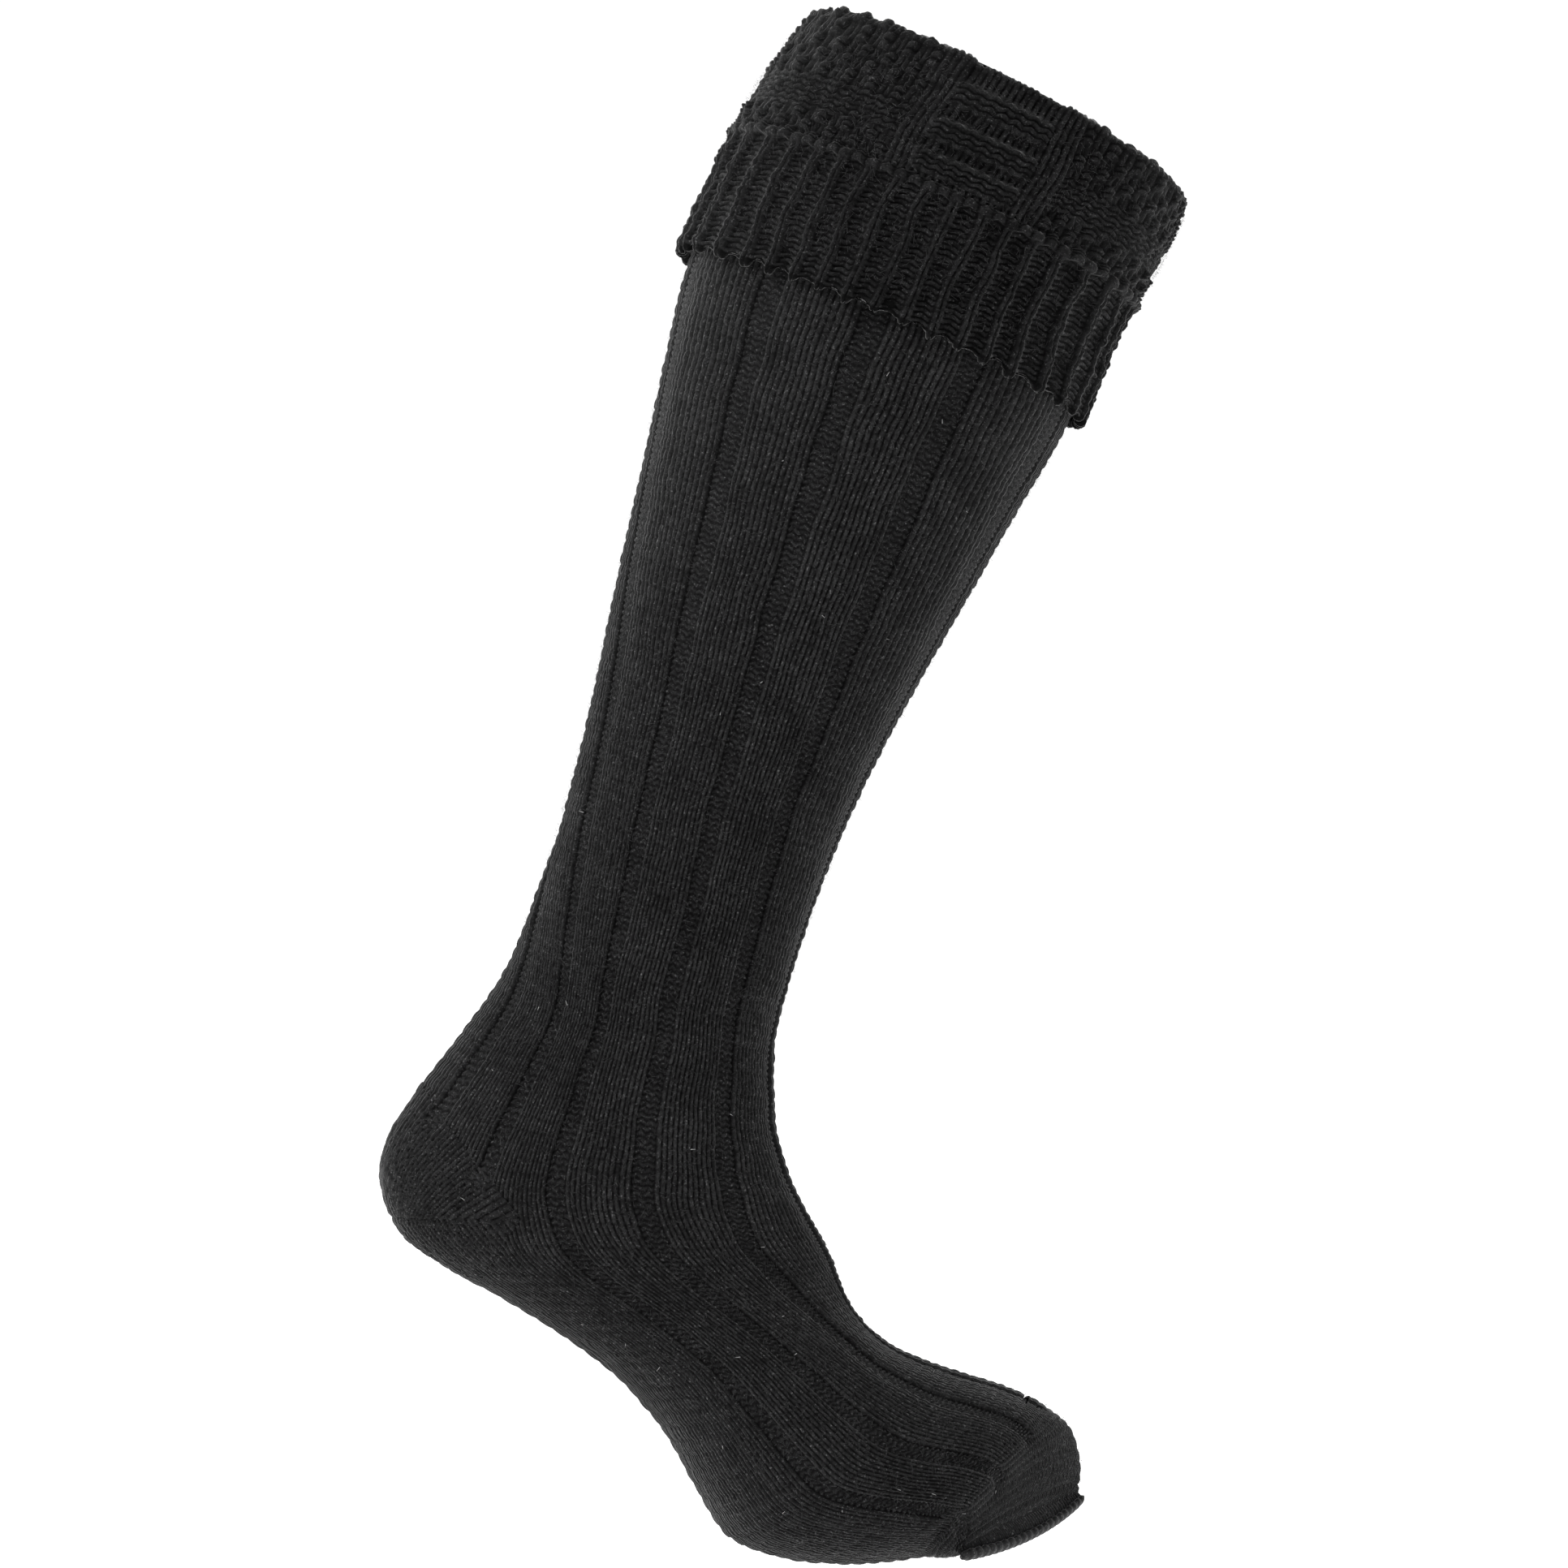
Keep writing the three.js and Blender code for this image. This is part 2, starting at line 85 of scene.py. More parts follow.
# Rounds of the foot: sole point, top point, spread, skew, twist, pull
FOOT_ROUNDS = (
    ((-0.178, 0.194), (0.194, 0.226), 0.0, 0.0, 0.018, 0.06),
    ((-0.198, 0.048), (0.217, 0.105), 0.02, 0.0, 0.022, 0.058),
    ((-0.223, -0.113), (0.248, 0.008), 0.05, 0.0, 0.027, 0.05),
    ((-0.242, -0.266), (0.279, -0.065), 0.05, 0.0, 0.03, 0.043),
    ((-0.236, -0.395), (0.306, -0.113), 0.03, 0.0, 0.03, 0.032),
    ((-0.19, -0.512), (0.329, -0.153), 0.0, 0.0, 0.03, 0.016),
    ((-0.116, -0.56), (0.349, -0.194), 0.0, 0.0, 0.03, 0.0),
    ((-0.031, -0.589), (0.368, -0.242), 0.05, 0.0, 0.034, 0.0),
    ((0.054, -0.625), (0.391, -0.29), 0.18, 0.0, 0.04, 0.0),
    ((0.14, -0.681), (0.422, -0.331), 0.36, 0.0, 0.043, 0.0),
    ((0.217, -0.77), (0.461, -0.359), 0.59, 0.0, 0.042, 0.0),
    ((0.279, -0.879), (0.508, -0.367), 0.82, 0.0, 0.043, 0.0),
    ((0.341, -0.975), (0.554, -0.365), 1.0, 0.0, 0.044, 0.0),
    ((0.411, -0.98), (0.601, -0.361), 1.0, 0.05, 0.048, 0.0),
    ((0.488, -0.94), (0.643, -0.365), 0.88, 0.17, 0.052, 0.0),
    ((0.55, -0.885), (0.675, -0.383), 0.7, 0.35, 0.052, 0.0),
    ((0.607, -0.823), (0.696, -0.419), 0.48, 0.6, 0.052, 0.0),
    ((0.636, -0.798), (0.705, -0.484), 0.3, 0.8, 0.052, 0.0),
    ((0.661, -0.765), (0.707, -0.555), 0.1, 0.92, 0.052, 0.0),
    ((0.687, -0.704), (0.697, -0.659), 0.0, 1.0, 0.052, 0.0),
)
FIRST_FOOT_STATION = len(LEG_ROUNDS)

# Skew of the toe seam, for each millimetre of width, and its length as a share of the ankle's width
SEAM_LEAD = 0.65
SEAM_LIFT = 0.38
SEAM_HALF_SHARE = 0.84

# A round's pull draws the wales this near the back round with it
PULL_REACH = 22.0

# Channels that the leg turns out of sight: wale, share of the round, and the station where that ends.
# A push fades over so many wales and stations, and the channel is so much shallower.
EDGE_PUSHES = ((41, 0.026, 11.5), (7, -0.02, 8.0))
PUSH_REACH = 8
PUSH_FADE = 3.5
PUSHED_FLATTER = 0.75

# Parting lines in the side view, as shares of FOOT_LENGTH and FOOT_DROP
GORE = (-0.043, -0.339)
HEEL_TOP_AT_BACK = (-0.205, -0.143)
LEG_END_AT_FRONT = (0.225, 0.113)
HEEL_END_AT_SOLE = (-0.072, -0.605)
TOE_AT_SOLE = (0.562, -0.887)
TOE_AT_TOP = (0.651, -0.323)

# Stations where the sunk channels run out, at the back, beside it and at the toe, over how many
# stations they do, and how many wales from the back the first two kinds lie
CHANNEL_ENDS = (FIRST_FOOT_STATION + 2.8, FIRST_FOOT_STATION + 3.9, FIRST_FOOT_STATION + 15.6)
CHANNEL_FADE = 0.5
BACK_CHANNEL_REACH = 4
HEEL_CHANNEL_REACH = 12

# Shallow folds at the ankle: station, wale of the middle, slant, half length in wales, and height.
# Each is as wide as its half width in courses.
CREASES = (
    (FIRST_FOOT_STATION - 1.6, 37, 0.3, 6, 0.6),
    (FIRST_FOOT_STATION - 0.7, 34, -0.2, 8, 0.8),
    (FIRST_FOOT_STATION + 0.4, 36, 0.15, 7, 0.8),
    (FIRST_FOOT_STATION + 1.6, 31, 0.4, 8, 0.6),
    (FIRST_FOOT_STATION + 2.9, 34, 0.1, 7, 0.7),
    (FIRST_FOOT_STATION + 4.4, 30, -0.3, 7, 0.5),
    (FIRST_FOOT_STATION - 1.0, 54, 0.2, 8, 0.7),
    (FIRST_FOOT_STATION + 1.2, 52, -0.2, 8, 0.7),
)
CREASE_HALF = 1.1

# Relief of the stitches over and under the skin
YARN_HEIGHT = 0.95
YARN_SINK = 0.7
PURL_HEIGHT = 0.85
CHANNEL_FLOOR = 1.15
RIB_CROWN = 0.45
BAR_WAVE = 0.4

# How uneven the hand of the knitting is: stitches aside, as a share of a wale, and strands in size
BODY_LOOSENESS = 0.07
BODY_UNEVEN = 0.14
HEEL_UNEVEN = 0.16

# Fineness of the sheets: parts of a stitch each way, and steps round and along the sock
WALE_PARTS = 6
COURSE_PARTS = 4
TOE_PARTS = 6
CUFF_PARTS = 6
SECTION_STEPS = 240
ALONG_STEPS = 1500

rng = np.random.default_rng(7)


def lerp(start, end, share):
    return start + (end - start) * share


def smooth(low, high, value):
    part = np.clip((value - low) / (high - low), 0, 1)
    return part * part * (3 - 2 * part)


def rounds_table():
    """Each round's back point, front point, half width, skew, twist and pull."""
    rows = []
    for rise, swell, lean, tip, twist, pull in LEG_ROUNDS:
        depth = lerp(ANKLE_DEPTH, CALF_DEPTH, swell)
        middle = lean * depth
        lift = tip * depth / 2
        height = rise * LEG_HEIGHT
        half = lerp(ANKLE_WIDTH, CALF_WIDTH, swell) / 2
        low = (middle - depth / 2, height - lift)
        high = (middle + depth / 2, height + lift)
        rows.append((*low, *high, half, 0, twist, pull))
    for sole, top, spread, skew, twist, pull in FOOT_ROUNDS:
        half = lerp(ANKLE_WIDTH, FOOT_WIDTH, spread) / 2 * lerp(1, SEAM_HALF_SHARE, skew)
        low = (sole[0] * FOOT_LENGTH, sole[1] * FOOT_DROP)
        high = (top[0] * FOOT_LENGTH, top[1] * FOOT_DROP)
        rows.append((*low, *high, half, skew, twist, pull))
    return np.array(rows, float)


ROUNDS = rounds_table()
LAST_STATION = len(ROUNDS) - 1


def at_station(station):
    """Every value of the rounds table, smoothly from round to round."""
    station = np.clip(np.asarray(station, float), 0, LAST_STATION)
    low = np.minimum(station.astype(int), LAST_STATION - 1)
    part = (station - low)[:, None]
    longer = np.vstack([2 * ROUNDS[0] - ROUNDS[1], ROUNDS, 2 * ROUNDS[-1] - ROUNDS[-2]])
    before, start, end, after = (longer[low + step] for step in range(4))
    slope = (end - before) / 2
    slope_after = (after - start) / 2
    bend = 3 * (end - start) - 2 * slope - slope_after
    turn = 2 * (start - end) + slope + slope_after
    return start + slope * part + bend * part**2 + turn * part**3


def wrapped(wale):
    return (wale + WALES / 2) % WALES - WALES / 2


def unit(vectors):
    return vectors / np.maximum(np.linalg.norm(vectors, axis=-1, keepdims=True), 1e-9)


def near_edge(station, wale, channel, lowest):
    """1 at a channel that the leg turns out of sight, less beside it, and 0 low on the leg."""
    near = np.cos(np.minimum(1, np.abs(wrapped(wale - channel)) / PUSH_REACH) * np.pi / 2) ** 2
    return near * smooth(lowest, lowest - PUSH_FADE, station)[:, None]


def skin(station, wale, out=0.0):
    """Points of the sock's skin, one row a station and one column a wale, moved out in their round."""
    station = np.asarray(station, float)
    wale = np.asarray(wale, float)
    back_x, back_z, front_x, front_z, half, skew, twist, pull = at_station(station).T
    none = np.zeros_like(back_x)
    middle = np.stack([(back_x + front_x) / 2, none, (back_z + front_z) / 2], -1)
    along = np.stack([(front_x - back_x) / 2, none, (front_z - back_z) / 2], -1)
    across = np.stack([-skew * SEAM_LEAD, none - 1, -skew * SEAM_LIFT], -1) * half[:, None]
    turn = np.linspace(0, 2 * np.pi, SECTION_STEPS + 1)
    ring = -along[:, None] * np.cos(turn)[:, None] + across[:, None] * np.sin(turn)[:, None]
    steps = np.linalg.norm(np.diff(ring, axis=1), axis=2)
    length = np.concatenate([np.zeros((len(station), 1)), np.cumsum(steps, 1)], 1)
    length /= length[:, -1:]
    fade = np.cos(np.minimum(1, np.abs(wrapped(wale)) / PULL_REACH) * np.pi / 2) ** 2
    share = wale / WALES + twist[:, None] + pull[:, None] * fade
    for channel, push, lowest in EDGE_PUSHES:
        share = share + push * near_edge(station, wale, channel, lowest)
    whole = np.floor(share)
    angle = np.empty_like(share)
    for row in range(len(station)):
        angle[row] = np.interp(share[row] - whole[row], length[row], turn)
    cosine, sine = np.cos(angle)[..., None], np.sin(angle)[..., None]
    points = middle[:, None] - along[:, None] * cosine + across[:, None] * sine
    tangent = along[:, None] * sine + across[:, None] * cosine
    facing = np.cross(along, across)[:, None]
    outward = unit(np.cross(facing, tangent))
    return points + outward * np.asarray(out, float)[..., None], outward


# Courses are even along the middle of each side, and stations go by them
SIDE_WALES = np.array([22.0, 32.0, 56.0, 66.0])
fine_stations = np.linspace(0, LAST_STATION, ALONG_STEPS + 1)
side_lines = skin(fine_stations, SIDE_WALES)[0]
side_steps = np.linalg.norm(np.diff(side_lines, axis=0), axis=2).mean(1)
fine_courses = np.concatenate([[0], np.cumsum(side_steps)]) / COURSE


def station_of(course):
    return np.interp(course, fine_courses, fine_stations)


def course_of(station):
    return np.interp(station, fine_stations, fine_courses)


def station_at_height(height):
    """The station of the leg whose round has its middle at this height."""
    heights = (at_station(fine_stations)[:, 1] + at_station(fine_stations)[:, 3]) / 2
    upper = fine_stations < FIRST_FOOT_STATION - 0.5
    return np.interp(-np.asarray(height, float), -heights[upper], fine_stations[upper])


# Heights of single stitches. x goes across the stitch and y down it, both from 0 to 1.
def rounded(away, half, fullness=0.6):
    """A bar's height, from 1 along its middle to 0 at half its width."""
    return np.clip(1 - (away / half) ** 2, 0, 1) ** fullness


def knit_stitch(x, y, dip=0.55):
    """Two strands side by side that spread a little downwards, and dip between courses."""
    spread = 0.22 + 0.06 * y
    away = np.minimum(np.abs(x - 0.5 - spread), np.abs(x - 0.5 + spread))
    return rounded(away, 0.25) * (1 - dip + dip * np.sin(np.pi * (0.1 + 0.8 * y)))


def purl_stitch(x, y):
    """Two rows of bars, the upper ones amid the stitch and the lower ones between stitches."""
    away = np.abs(2 * y % 1 - 0.5)
    aside = np.where(y < 0.5, np.abs(x - 0.5), 0.5 - np.abs(x - 0.5))
    return rounded(away, 0.5) * (0.4 + 0.6 * rounded(aside, 0.45))


def nub(x, y):
    """One round bump a stitch, creased across."""
    lump = np.clip(1 - ((x - 0.5) / 0.52) ** 2 - ((y - 0.5) / 0.52) ** 2, 0, 1) ** 0.5
    return lump * (1 - 0.35 * np.exp(-(((y - 0.5) / 0.12) ** 2)))


def dashes(x, y):
    """Two short bars, one over the other, as a purl stitch among knit ones shows."""
    return rounded(2 * y % 1 - 0.5, 0.45) * rounded(x - 0.5, 0.45, 0.5)


def soften(grid, rounds):
    """Evens a grid that closes round its columns."""
    for _ in range(rounds):
        grid = (np.roll(grid, 1, 1) + 2 * grid + np.roll(grid, -1, 1)) / 4
        padded = np.vstack([grid[:1], grid, grid[-1:]])
        grid = (padded[:-2] + 2 * grid + padded[2:]) / 4
    return grid


def loose_table(courses, size):
    """A slow random drift for each stitch, as a share of a wale."""
    table = soften(rng.standard_normal((courses, WALES)), 2)
    return table * size / table.std()


def drift(table, rows, columns):
    """The table's drift at fine rows and columns."""
    row = np.clip(rows, 0, len(table) - 1.001)
    low, left = row.astype(int), np.floor(columns).astype(int)
    down, aside = (row - low)[:, None], (columns - left)[None, :]
    start, end = (left % WALES)[None, :], ((left + 1) % WALES)[None, :]
    upper, lower = low[:, None], (low + 1)[:, None]
    above = lerp(table[upper, start], table[upper, end], aside)
    below = lerp(table[lower, start], table[lower, end], aside)
    return lerp(above, below, down)


body_drift = loose_table(int(fine_courses[-1]) + 3, BODY_LOOSENESS)
body_strands = 1 + BODY_UNEVEN * rng.standard_normal((len(body_drift), 2 * WALES))


def creases(course, wale):
    """Height of the shallow folds in front of the ankle."""
    height = np.zeros((len(course), len(wale)))
    for station, middle, slant, reach, rise in CREASES:
        away = course[:, None] - course_of(station) - slant * (wale - middle)[None, :]
        aside = ((wale - middle) / reach)[None, :]
        height += rise * np.exp(-((away / CREASE_HALF) ** 2) - aside**2)
    return height


def channel_fade(station, wale):
    """1 where the channels are sunk, and 0 past their ends."""
    away = np.abs(wrapped(wale))[None, :]
    at_back, beside, at_toe = CHANNEL_ENDS
    ends = np.where(away < BACK_CHANNEL_REACH, at_back, np.where(away < HEEL_CHANNEL_REACH, beside, at_toe))
    return smooth(0, CHANNEL_FADE, ends - station[:, None])


def from_channel(wale):
    """Wales from the middle of the nearest channel."""
    return np.abs(wale - RIB_REPEAT * np.round(wale / RIB_REPEAT))


def in_floor(away):
    """1 in a channel and 0 on the ribs, at so many wales from the channel's middle."""
    return smooth(1.3, 0.8, away)


def rib_crown(away):
    """How much a rib rises, at so many wales from the channel's middle."""
    return RIB_CROWN * smooth(1.0, 2.6, away)


def purl_painted_shade(purl):
    """Painted shade of a channel's yarn: darker between the bars, but less so than a knit stitch is between
    its strands.
    """
    return 0.22 + 0.85 * purl


def close_round(*grids):
    """Makes the last column of each grid the same as its first."""
    for grid in grids:
        grid[:, -1] = grid[:, 0]


def body_relief(course, wale):
    """The ribbed leg and foot: height over the skin, painted shade, and how far down its bars wave."""
    station = station_of(course)
    x, y = (wale % 1)[None, :], (course % 1)[:, None]
    away = from_channel(wale)[None, :]
    fade = channel_fade(station, wale)
    sunk = fade * (away < 1)
    strand = np.floor(2 * wale + 1e-6).astype(int) % (2 * WALES)
    here = np.clip(np.floor(course + 1e-6).astype(int), 0, len(body_strands) - 1)
    knit = knit_stitch(x, y) * body_strands[here[:, None], strand[None, :]]
    purl = purl_stitch(x, y) * smooth(1.05, 0.85, away) * PURL_HEIGHT
    yarn = np.where(sunk > 0.5, purl, knit)
    depth = CHANNEL_FLOOR * fade
    for channel, _, lowest in EDGE_PUSHES:
        depth = depth * (1 - PUSHED_FLATTER * near_edge(station, wale, channel, lowest))
    height = YARN_HEIGHT * yarn - YARN_SINK - depth * in_floor(away) + rib_crown(away) * fade
    wave = BAR_WAVE * sunk * np.cos(2 * np.pi * wale)[None, :]
    # Painted shade: darker between the strands, and in the channels darker between the bars
    tone = np.where(sunk > 0.5, purl_painted_shade(purl), knit)
    return height + creases(course, wale), tone, wave


def finish_mesh(name, bm, material, replaces):
    """Turns a bmesh into a finished piece of the sock."""
    mesh = bpy.data.meshes.new(name)
    bm.to_mesh(mesh)
    bm.free()
    mesh.polygons.foreach_set("use_smooth", np.ones(len(mesh.polygons), bool))
    mesh.materials.append(material)
    piece = bpy.data.objects.new(name, mesh)
    bpy.context.scene.collection.objects.link(piece)
    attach(piece, "root")
    if replaces:
        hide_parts(*replaces)


def grid_sheet(points, outward, uv, yarn, closed=True):
    """A sheet of knitting: a grid whose rows and columns are laid on the points, in millimetres.

    yarn is the painted shade of the stitches, 1 on the strands and 0 between them where shade falls, and a
    closed sheet meets itself round the sock."""
    rows, columns = points.shape[:2]
    bm = bmesh.new()
    bmesh.ops.create_grid(bm, x_segments=columns - 1, y_segments=rows - 1, size=1)
    mesh = bpy.data.meshes.new("sheet")
    bm.to_mesh(mesh)
    bm.free()
    place = np.empty(len(mesh.vertices) * 3, np.float32)
    mesh.vertices.foreach_get("co", place)
    place = place.reshape(-1, 3)
    column = np.rint((place[:, 0] + 1) / 2 * (columns - 1)).astype(int)
    row = np.rint((1 - place[:, 1]) / 2 * (rows - 1)).astype(int)
    mesh.vertices.foreach_set("co", (points[row, column] * MM).astype(np.float32).ravel())
    layer = mesh.uv_layers.new(name="knit")
    corner = np.empty(len(mesh.loops), int)
    mesh.loops.foreach_get("vertex_index", corner)
    flat = np.stack([axis[row[corner], column[corner]] for axis in uv], -1)
    layer.data.foreach_set("uv", flat.astype(np.float32).ravel())
    # Painted shade: the yarn attribute darkens the wool between the strands
    attribute = mesh.attributes.new("yarn", "FLOAT", "POINT")
    attribute.data.foreach_set("value", yarn[row, column].astype(np.float32))
    mesh.update()
    bm = bmesh.new()
    bm.from_mesh(mesh)
    bpy.data.meshes.remove(mesh)
    bm.faces.ensure_lookup_table()
    middle = bm.faces[len(bm.faces) // 2]
    near = np.linalg.norm(points - np.array(middle.calc_center_median()) / MM, axis=2)
    spot = np.unravel_index(near.argmin(), near.shape)
    if middle.normal.dot(Vector(outward[spot])) < 0:
        bmesh.ops.reverse_faces(bm, faces=bm.faces)
    if closed:
        edge = [v for v in bm.verts if v.is_boundary]
        bmesh.ops.remove_doubles(bm, verts=edge, dist=1e-7)
    return bm


def knit_uv(columns, rows):
    """Map coordinates of a sheet: wales across and courses upwards."""
    shape = (len(rows), len(columns))
    return np.broadcast_to(columns, shape), np.broadcast_to(-rows[:, None], shape)


def surface_normals(points, outward):
    """Normals of a grid of points, on the side that it faces."""
    by_row = np.gradient(points, axis=0)
    by_column = np.gradient(points, axis=1)
    normal = unit(np.cross(by_row, by_column))
    sign = np.sign((normal * outward).sum(-1, keepdims=True))
    sign[sign == 0] = 1
    return normal * sign


def round_normals(points, outward):
    """Normals of a grid that closes round the sock, the same on both sides of where it closes."""
    normal = surface_normals(points, outward)
    normal[:, -1] = normal[:, 0] = unit(normal[:, 0] + normal[:, -1])
    return normal


def side_plane(start, end):
    """A plane across the sock through two points of the side view, given as shares."""
    first = Vector((start[0] * FOOT_LENGTH, 0, start[1] * FOOT_DROP)) * MM
    second = Vector((end[0] * FOOT_LENGTH, 0, end[1] * FOOT_DROP)) * MM
    course = (second - first).normalized()
    return first, Vector((-course.z, 0, course.x))


def keep_side(bm, plane, facing):
    """Cuts the sheet on a plane and keeps the side that the plane faces, or the other with -1."""
    geometry = bm.verts[:] + bm.edges[:] + bm.faces[:]
    point, normal = plane
    bmesh.ops.bisect_plane(
        bm, geom=geometry, dist=1e-7, plane_co=point, plane_no=normal * facing, clear_inner=True
    )


heel_top = side_plane(GORE, HEEL_TOP_AT_BACK)
leg_front = side_plane(GORE, LEG_END_AT_FRONT)
heel_end = side_plane(GORE, HEEL_END_AT_SOLE)
toe_line = side_plane(TOE_AT_SOLE, TOE_AT_TOP)


# Materials
def noise(nodes, links, place, scale, detail, roughness):
    """A cloudy pattern of the given fineness."""
    node = nodes.new("ShaderNodeTexNoise")
    for key, value in (("Scale", scale), ("Detail", detail), ("Roughness", roughness)):
        node.inputs[key].default_value = value
    links.new(place, node.inputs["Vector"])
    return node.outputs["Fac"]


def ranged(nodes, links, value, before, after):
    """A value moved from one range to another, and held inside it."""
    node = nodes.new("ShaderNodeMapRange")
    for key, limit in zip(("From Min", "From Max", "To Min", "To Max"), (*before, *after)):
        node.inputs[key].default_value = limit
    links.new(value, node.inputs["Value"])
    return node.outputs["Result"]


def wool(name, dark, light, fleck, veil):
    """Charcoal wool: mottled yarn, hairy at every scale, paler where it is seen edge on, and darkened by the
    painted shade of the yarn attribute.
    """
    material = bpy.data.materials.new(name)
    material.use_nodes = True
    nodes, links = material.node_tree.nodes, material.node_tree.links
    shader = nodes["Principled BSDF"]
    shader.inputs["Roughness"].default_value = 0.92
    shader.inputs["Specular IOR Level"].default_value = 0.06
    shader.inputs["Sheen Weight"].default_value = veil
    shader.inputs["Sheen Roughness"].default_value = 0.35
    shader.inputs["Sheen Tint"].default_value = (1.0, 1.0, 1.0, 1)
    place = nodes.new("ShaderNodeTexCoord").outputs["Object"]
    mottle = noise(nodes, links, place, 900, 6, 0.72)
    hair = noise(nodes, links, place, 1500, 3, 0.5)
    cloud = noise(nodes, links, place, 75, 4, 0.65)
    tone = nodes.new("ShaderNodeValToRGB")
    for stop, position, colour in zip(tone.color_ramp.elements, (0.34, 0.68), (dark, light)):
        stop.position = position
        stop.color = (*colour, 1)
    links.new(mottle, tone.inputs["Fac"])
    flecked = nodes.new("ShaderNodeMix")
    flecked.data_type = "RGBA"
    flecked.inputs["B"].default_value = (*fleck, 1)
    links.new(ranged(nodes, links, hair, (0.6, 0.78), (0, 1)), flecked.inputs["Factor"])
    links.new(tone.outputs["Color"], flecked.inputs["A"])

    # Painted shade between the strands, from the yarn attribute, and an uneven fade over a centimetre or two
    yarn = nodes.new("ShaderNodeAttribute")
    yarn.attribute_name = "yarn"
    painted_shade_and_fade = nodes.new("ShaderNodeMath")
    painted_shade_and_fade.operation = "MULTIPLY"
    links.new(ranged(nodes, links, yarn.outputs["Fac"], (0.1, 0.9), (0.15, 1.35)), painted_shade_and_fade.inputs[0])
    links.new(ranged(nodes, links, cloud, (0.36, 0.64), (0.78, 1.24)), painted_shade_and_fade.inputs[1])
    shaded = nodes.new("ShaderNodeMix")
    shaded.data_type = "RGBA"
    shaded.blend_type = "MULTIPLY"
    shaded.inputs["Factor"].default_value = 1
    links.new(flecked.outputs["Result"], shaded.inputs["A"])
    links.new(painted_shade_and_fade.outputs["Value"], shaded.inputs["B"])
    links.new(shaded.outputs["Result"], shader.inputs["Base Color"])
    bump = nodes.new("ShaderNodeBump")
    bump.inputs["Strength"].default_value = 0.55
    bump.inputs["Distance"].default_value = 0.0004
    links.new(hair, bump.inputs["Height"])
    links.new(bump.outputs["Normal"], shader.inputs["Normal"])
    return material


rib_wool = wool("rib_wool", (0.004, 0.004, 0.0041), (0.02, 0.02, 0.0203), (0.09, 0.09, 0.091), 0.27)
plain_wool = wool("plain_wool", (0.0035, 0.0035, 0.0036), (0.0175, 0.0175, 0.0178), (0.09, 0.09, 0.091), 0.25)
cuff_wool = wool("cuff_wool", (0.0025, 0.0025, 0.0026), (0.0125, 0.0125, 0.0127), (0.065, 0.065, 0.066), 0.24)
# Painted light: the seam's wool is paler than the toe's, against the shade on the seam's downward face
seam_wool_painted_lighter = wool("seam_wool_painted_lighter", (0.006, 0.006, 0.0061), (0.027, 0.027, 0.0273), (0.1, 0.1, 0.101), 0.25)


# Leg and foot: ribs of six knit wales with two sunk purl wales between them. Each is laid in two
# sheets, and those of the leg and foot run past the parting lines, on which they are cut.
UNDER_CUFF_COURSES = 4
LEG_UPPER_COURSES = 42
LEG_STOP = FIRST_FOOT_STATION + 6
FOOT_START = FIRST_FOOT_STATION - 0.6
FOOT_SPLIT = FIRST_FOOT_STATION + 9.5
FOOT_STOP = FIRST_FOOT_STATION + 16.5


def body_sheet(first_course, last_course):
    first, last = int(first_course * COURSE_PARTS), int(last_course * COURSE_PARTS)
    rows = np.arange(first, last + 1) / COURSE_PARTS
    columns = np.arange(WALES * WALE_PARTS + 1) / WALE_PARTS
    skin_points, outward = skin(station_of(rows), columns + drift(body_drift, rows, columns))
    normal = round_normals(skin_points, outward)
    height, yarn, wave = body_relief(rows, columns)
    close_round(height, yarn)
    down = unit(np.gradient(skin_points, axis=0))
    points = skin_points + normal * height[..., None] + down * wave[..., None]
    return grid_sheet(points, outward, knit_uv(columns, rows), yarn)


hem_course = float(np.floor(course_of(station_at_height(LEG_HEIGHT - CUFF_DROP))))
split_course = hem_course + LEG_UPPER_COURSES
ankle_course = float(np.ceil(course_of(LEG_STOP)))
leg_upper = body_sheet(hem_course - UNDER_CUFF_COURSES, split_course)
finish_mesh("leg_upper_ribs", leg_upper, rib_wool, ["leg"])
leg_lower = body_sheet(split_course, ankle_course)
keep_side(leg_lower, heel_top, -1)
keep_side(leg_lower, leg_front, 1)
finish_mesh("leg_lower_ribs", leg_lower, rib_wool, ["leg"])

foot_split = float(np.round(course_of(FOOT_SPLIT)))
foot_back = body_sheet(float(np.floor(course_of(FOOT_START))), foot_split)
keep_side(foot_back, leg_front, -1)
keep_side(foot_back, heel_end, 1)
finish_mesh("foot_back_ribs", foot_back, rib_wool, ["foot"])
foot_front = body_sheet(foot_split, float(np.ceil(course_of(FOOT_STOP))))
keep_side(foot_front, toe_line, 1)
finish_mesh("foot_front_ribs", foot_front, rib_wool, ["forefoot"])

# Heel: plain stocking stitch, turned on a slanted gore line from each lower corner of the ankle
HEEL_COURSE = 3.7
HEEL_STEP = 0.45
HEEL_GAUGE = 0.9
HEEL_START = FIRST_FOOT_STATION - 1.2
HEEL_STOP = FIRST_FOOT_STATION + 6.6
HEEL_REACH = 21

# How the wales run in the side view, above the gore line and below it
UPPER_RUN = (-0.68, -0.73)
LOWER_RUN = (0.89, -0.45)

# Millimetres past the leg where its ribs have run out, and beside the gore line where it is sunk
HEEL_RIB_END = 9
GORE_FADE = 0.9

heel_strands = 1 + HEEL_UNEVEN * rng.standard_normal((60, 2 * WALES))


def plane_distance(points, plane, sign):
    """Millimetres past a plane, on the side that it faces, or on the other with -1."""
    point, normal = plane
    return (points - np.array(point) / MM) @ (np.array(normal) * sign)


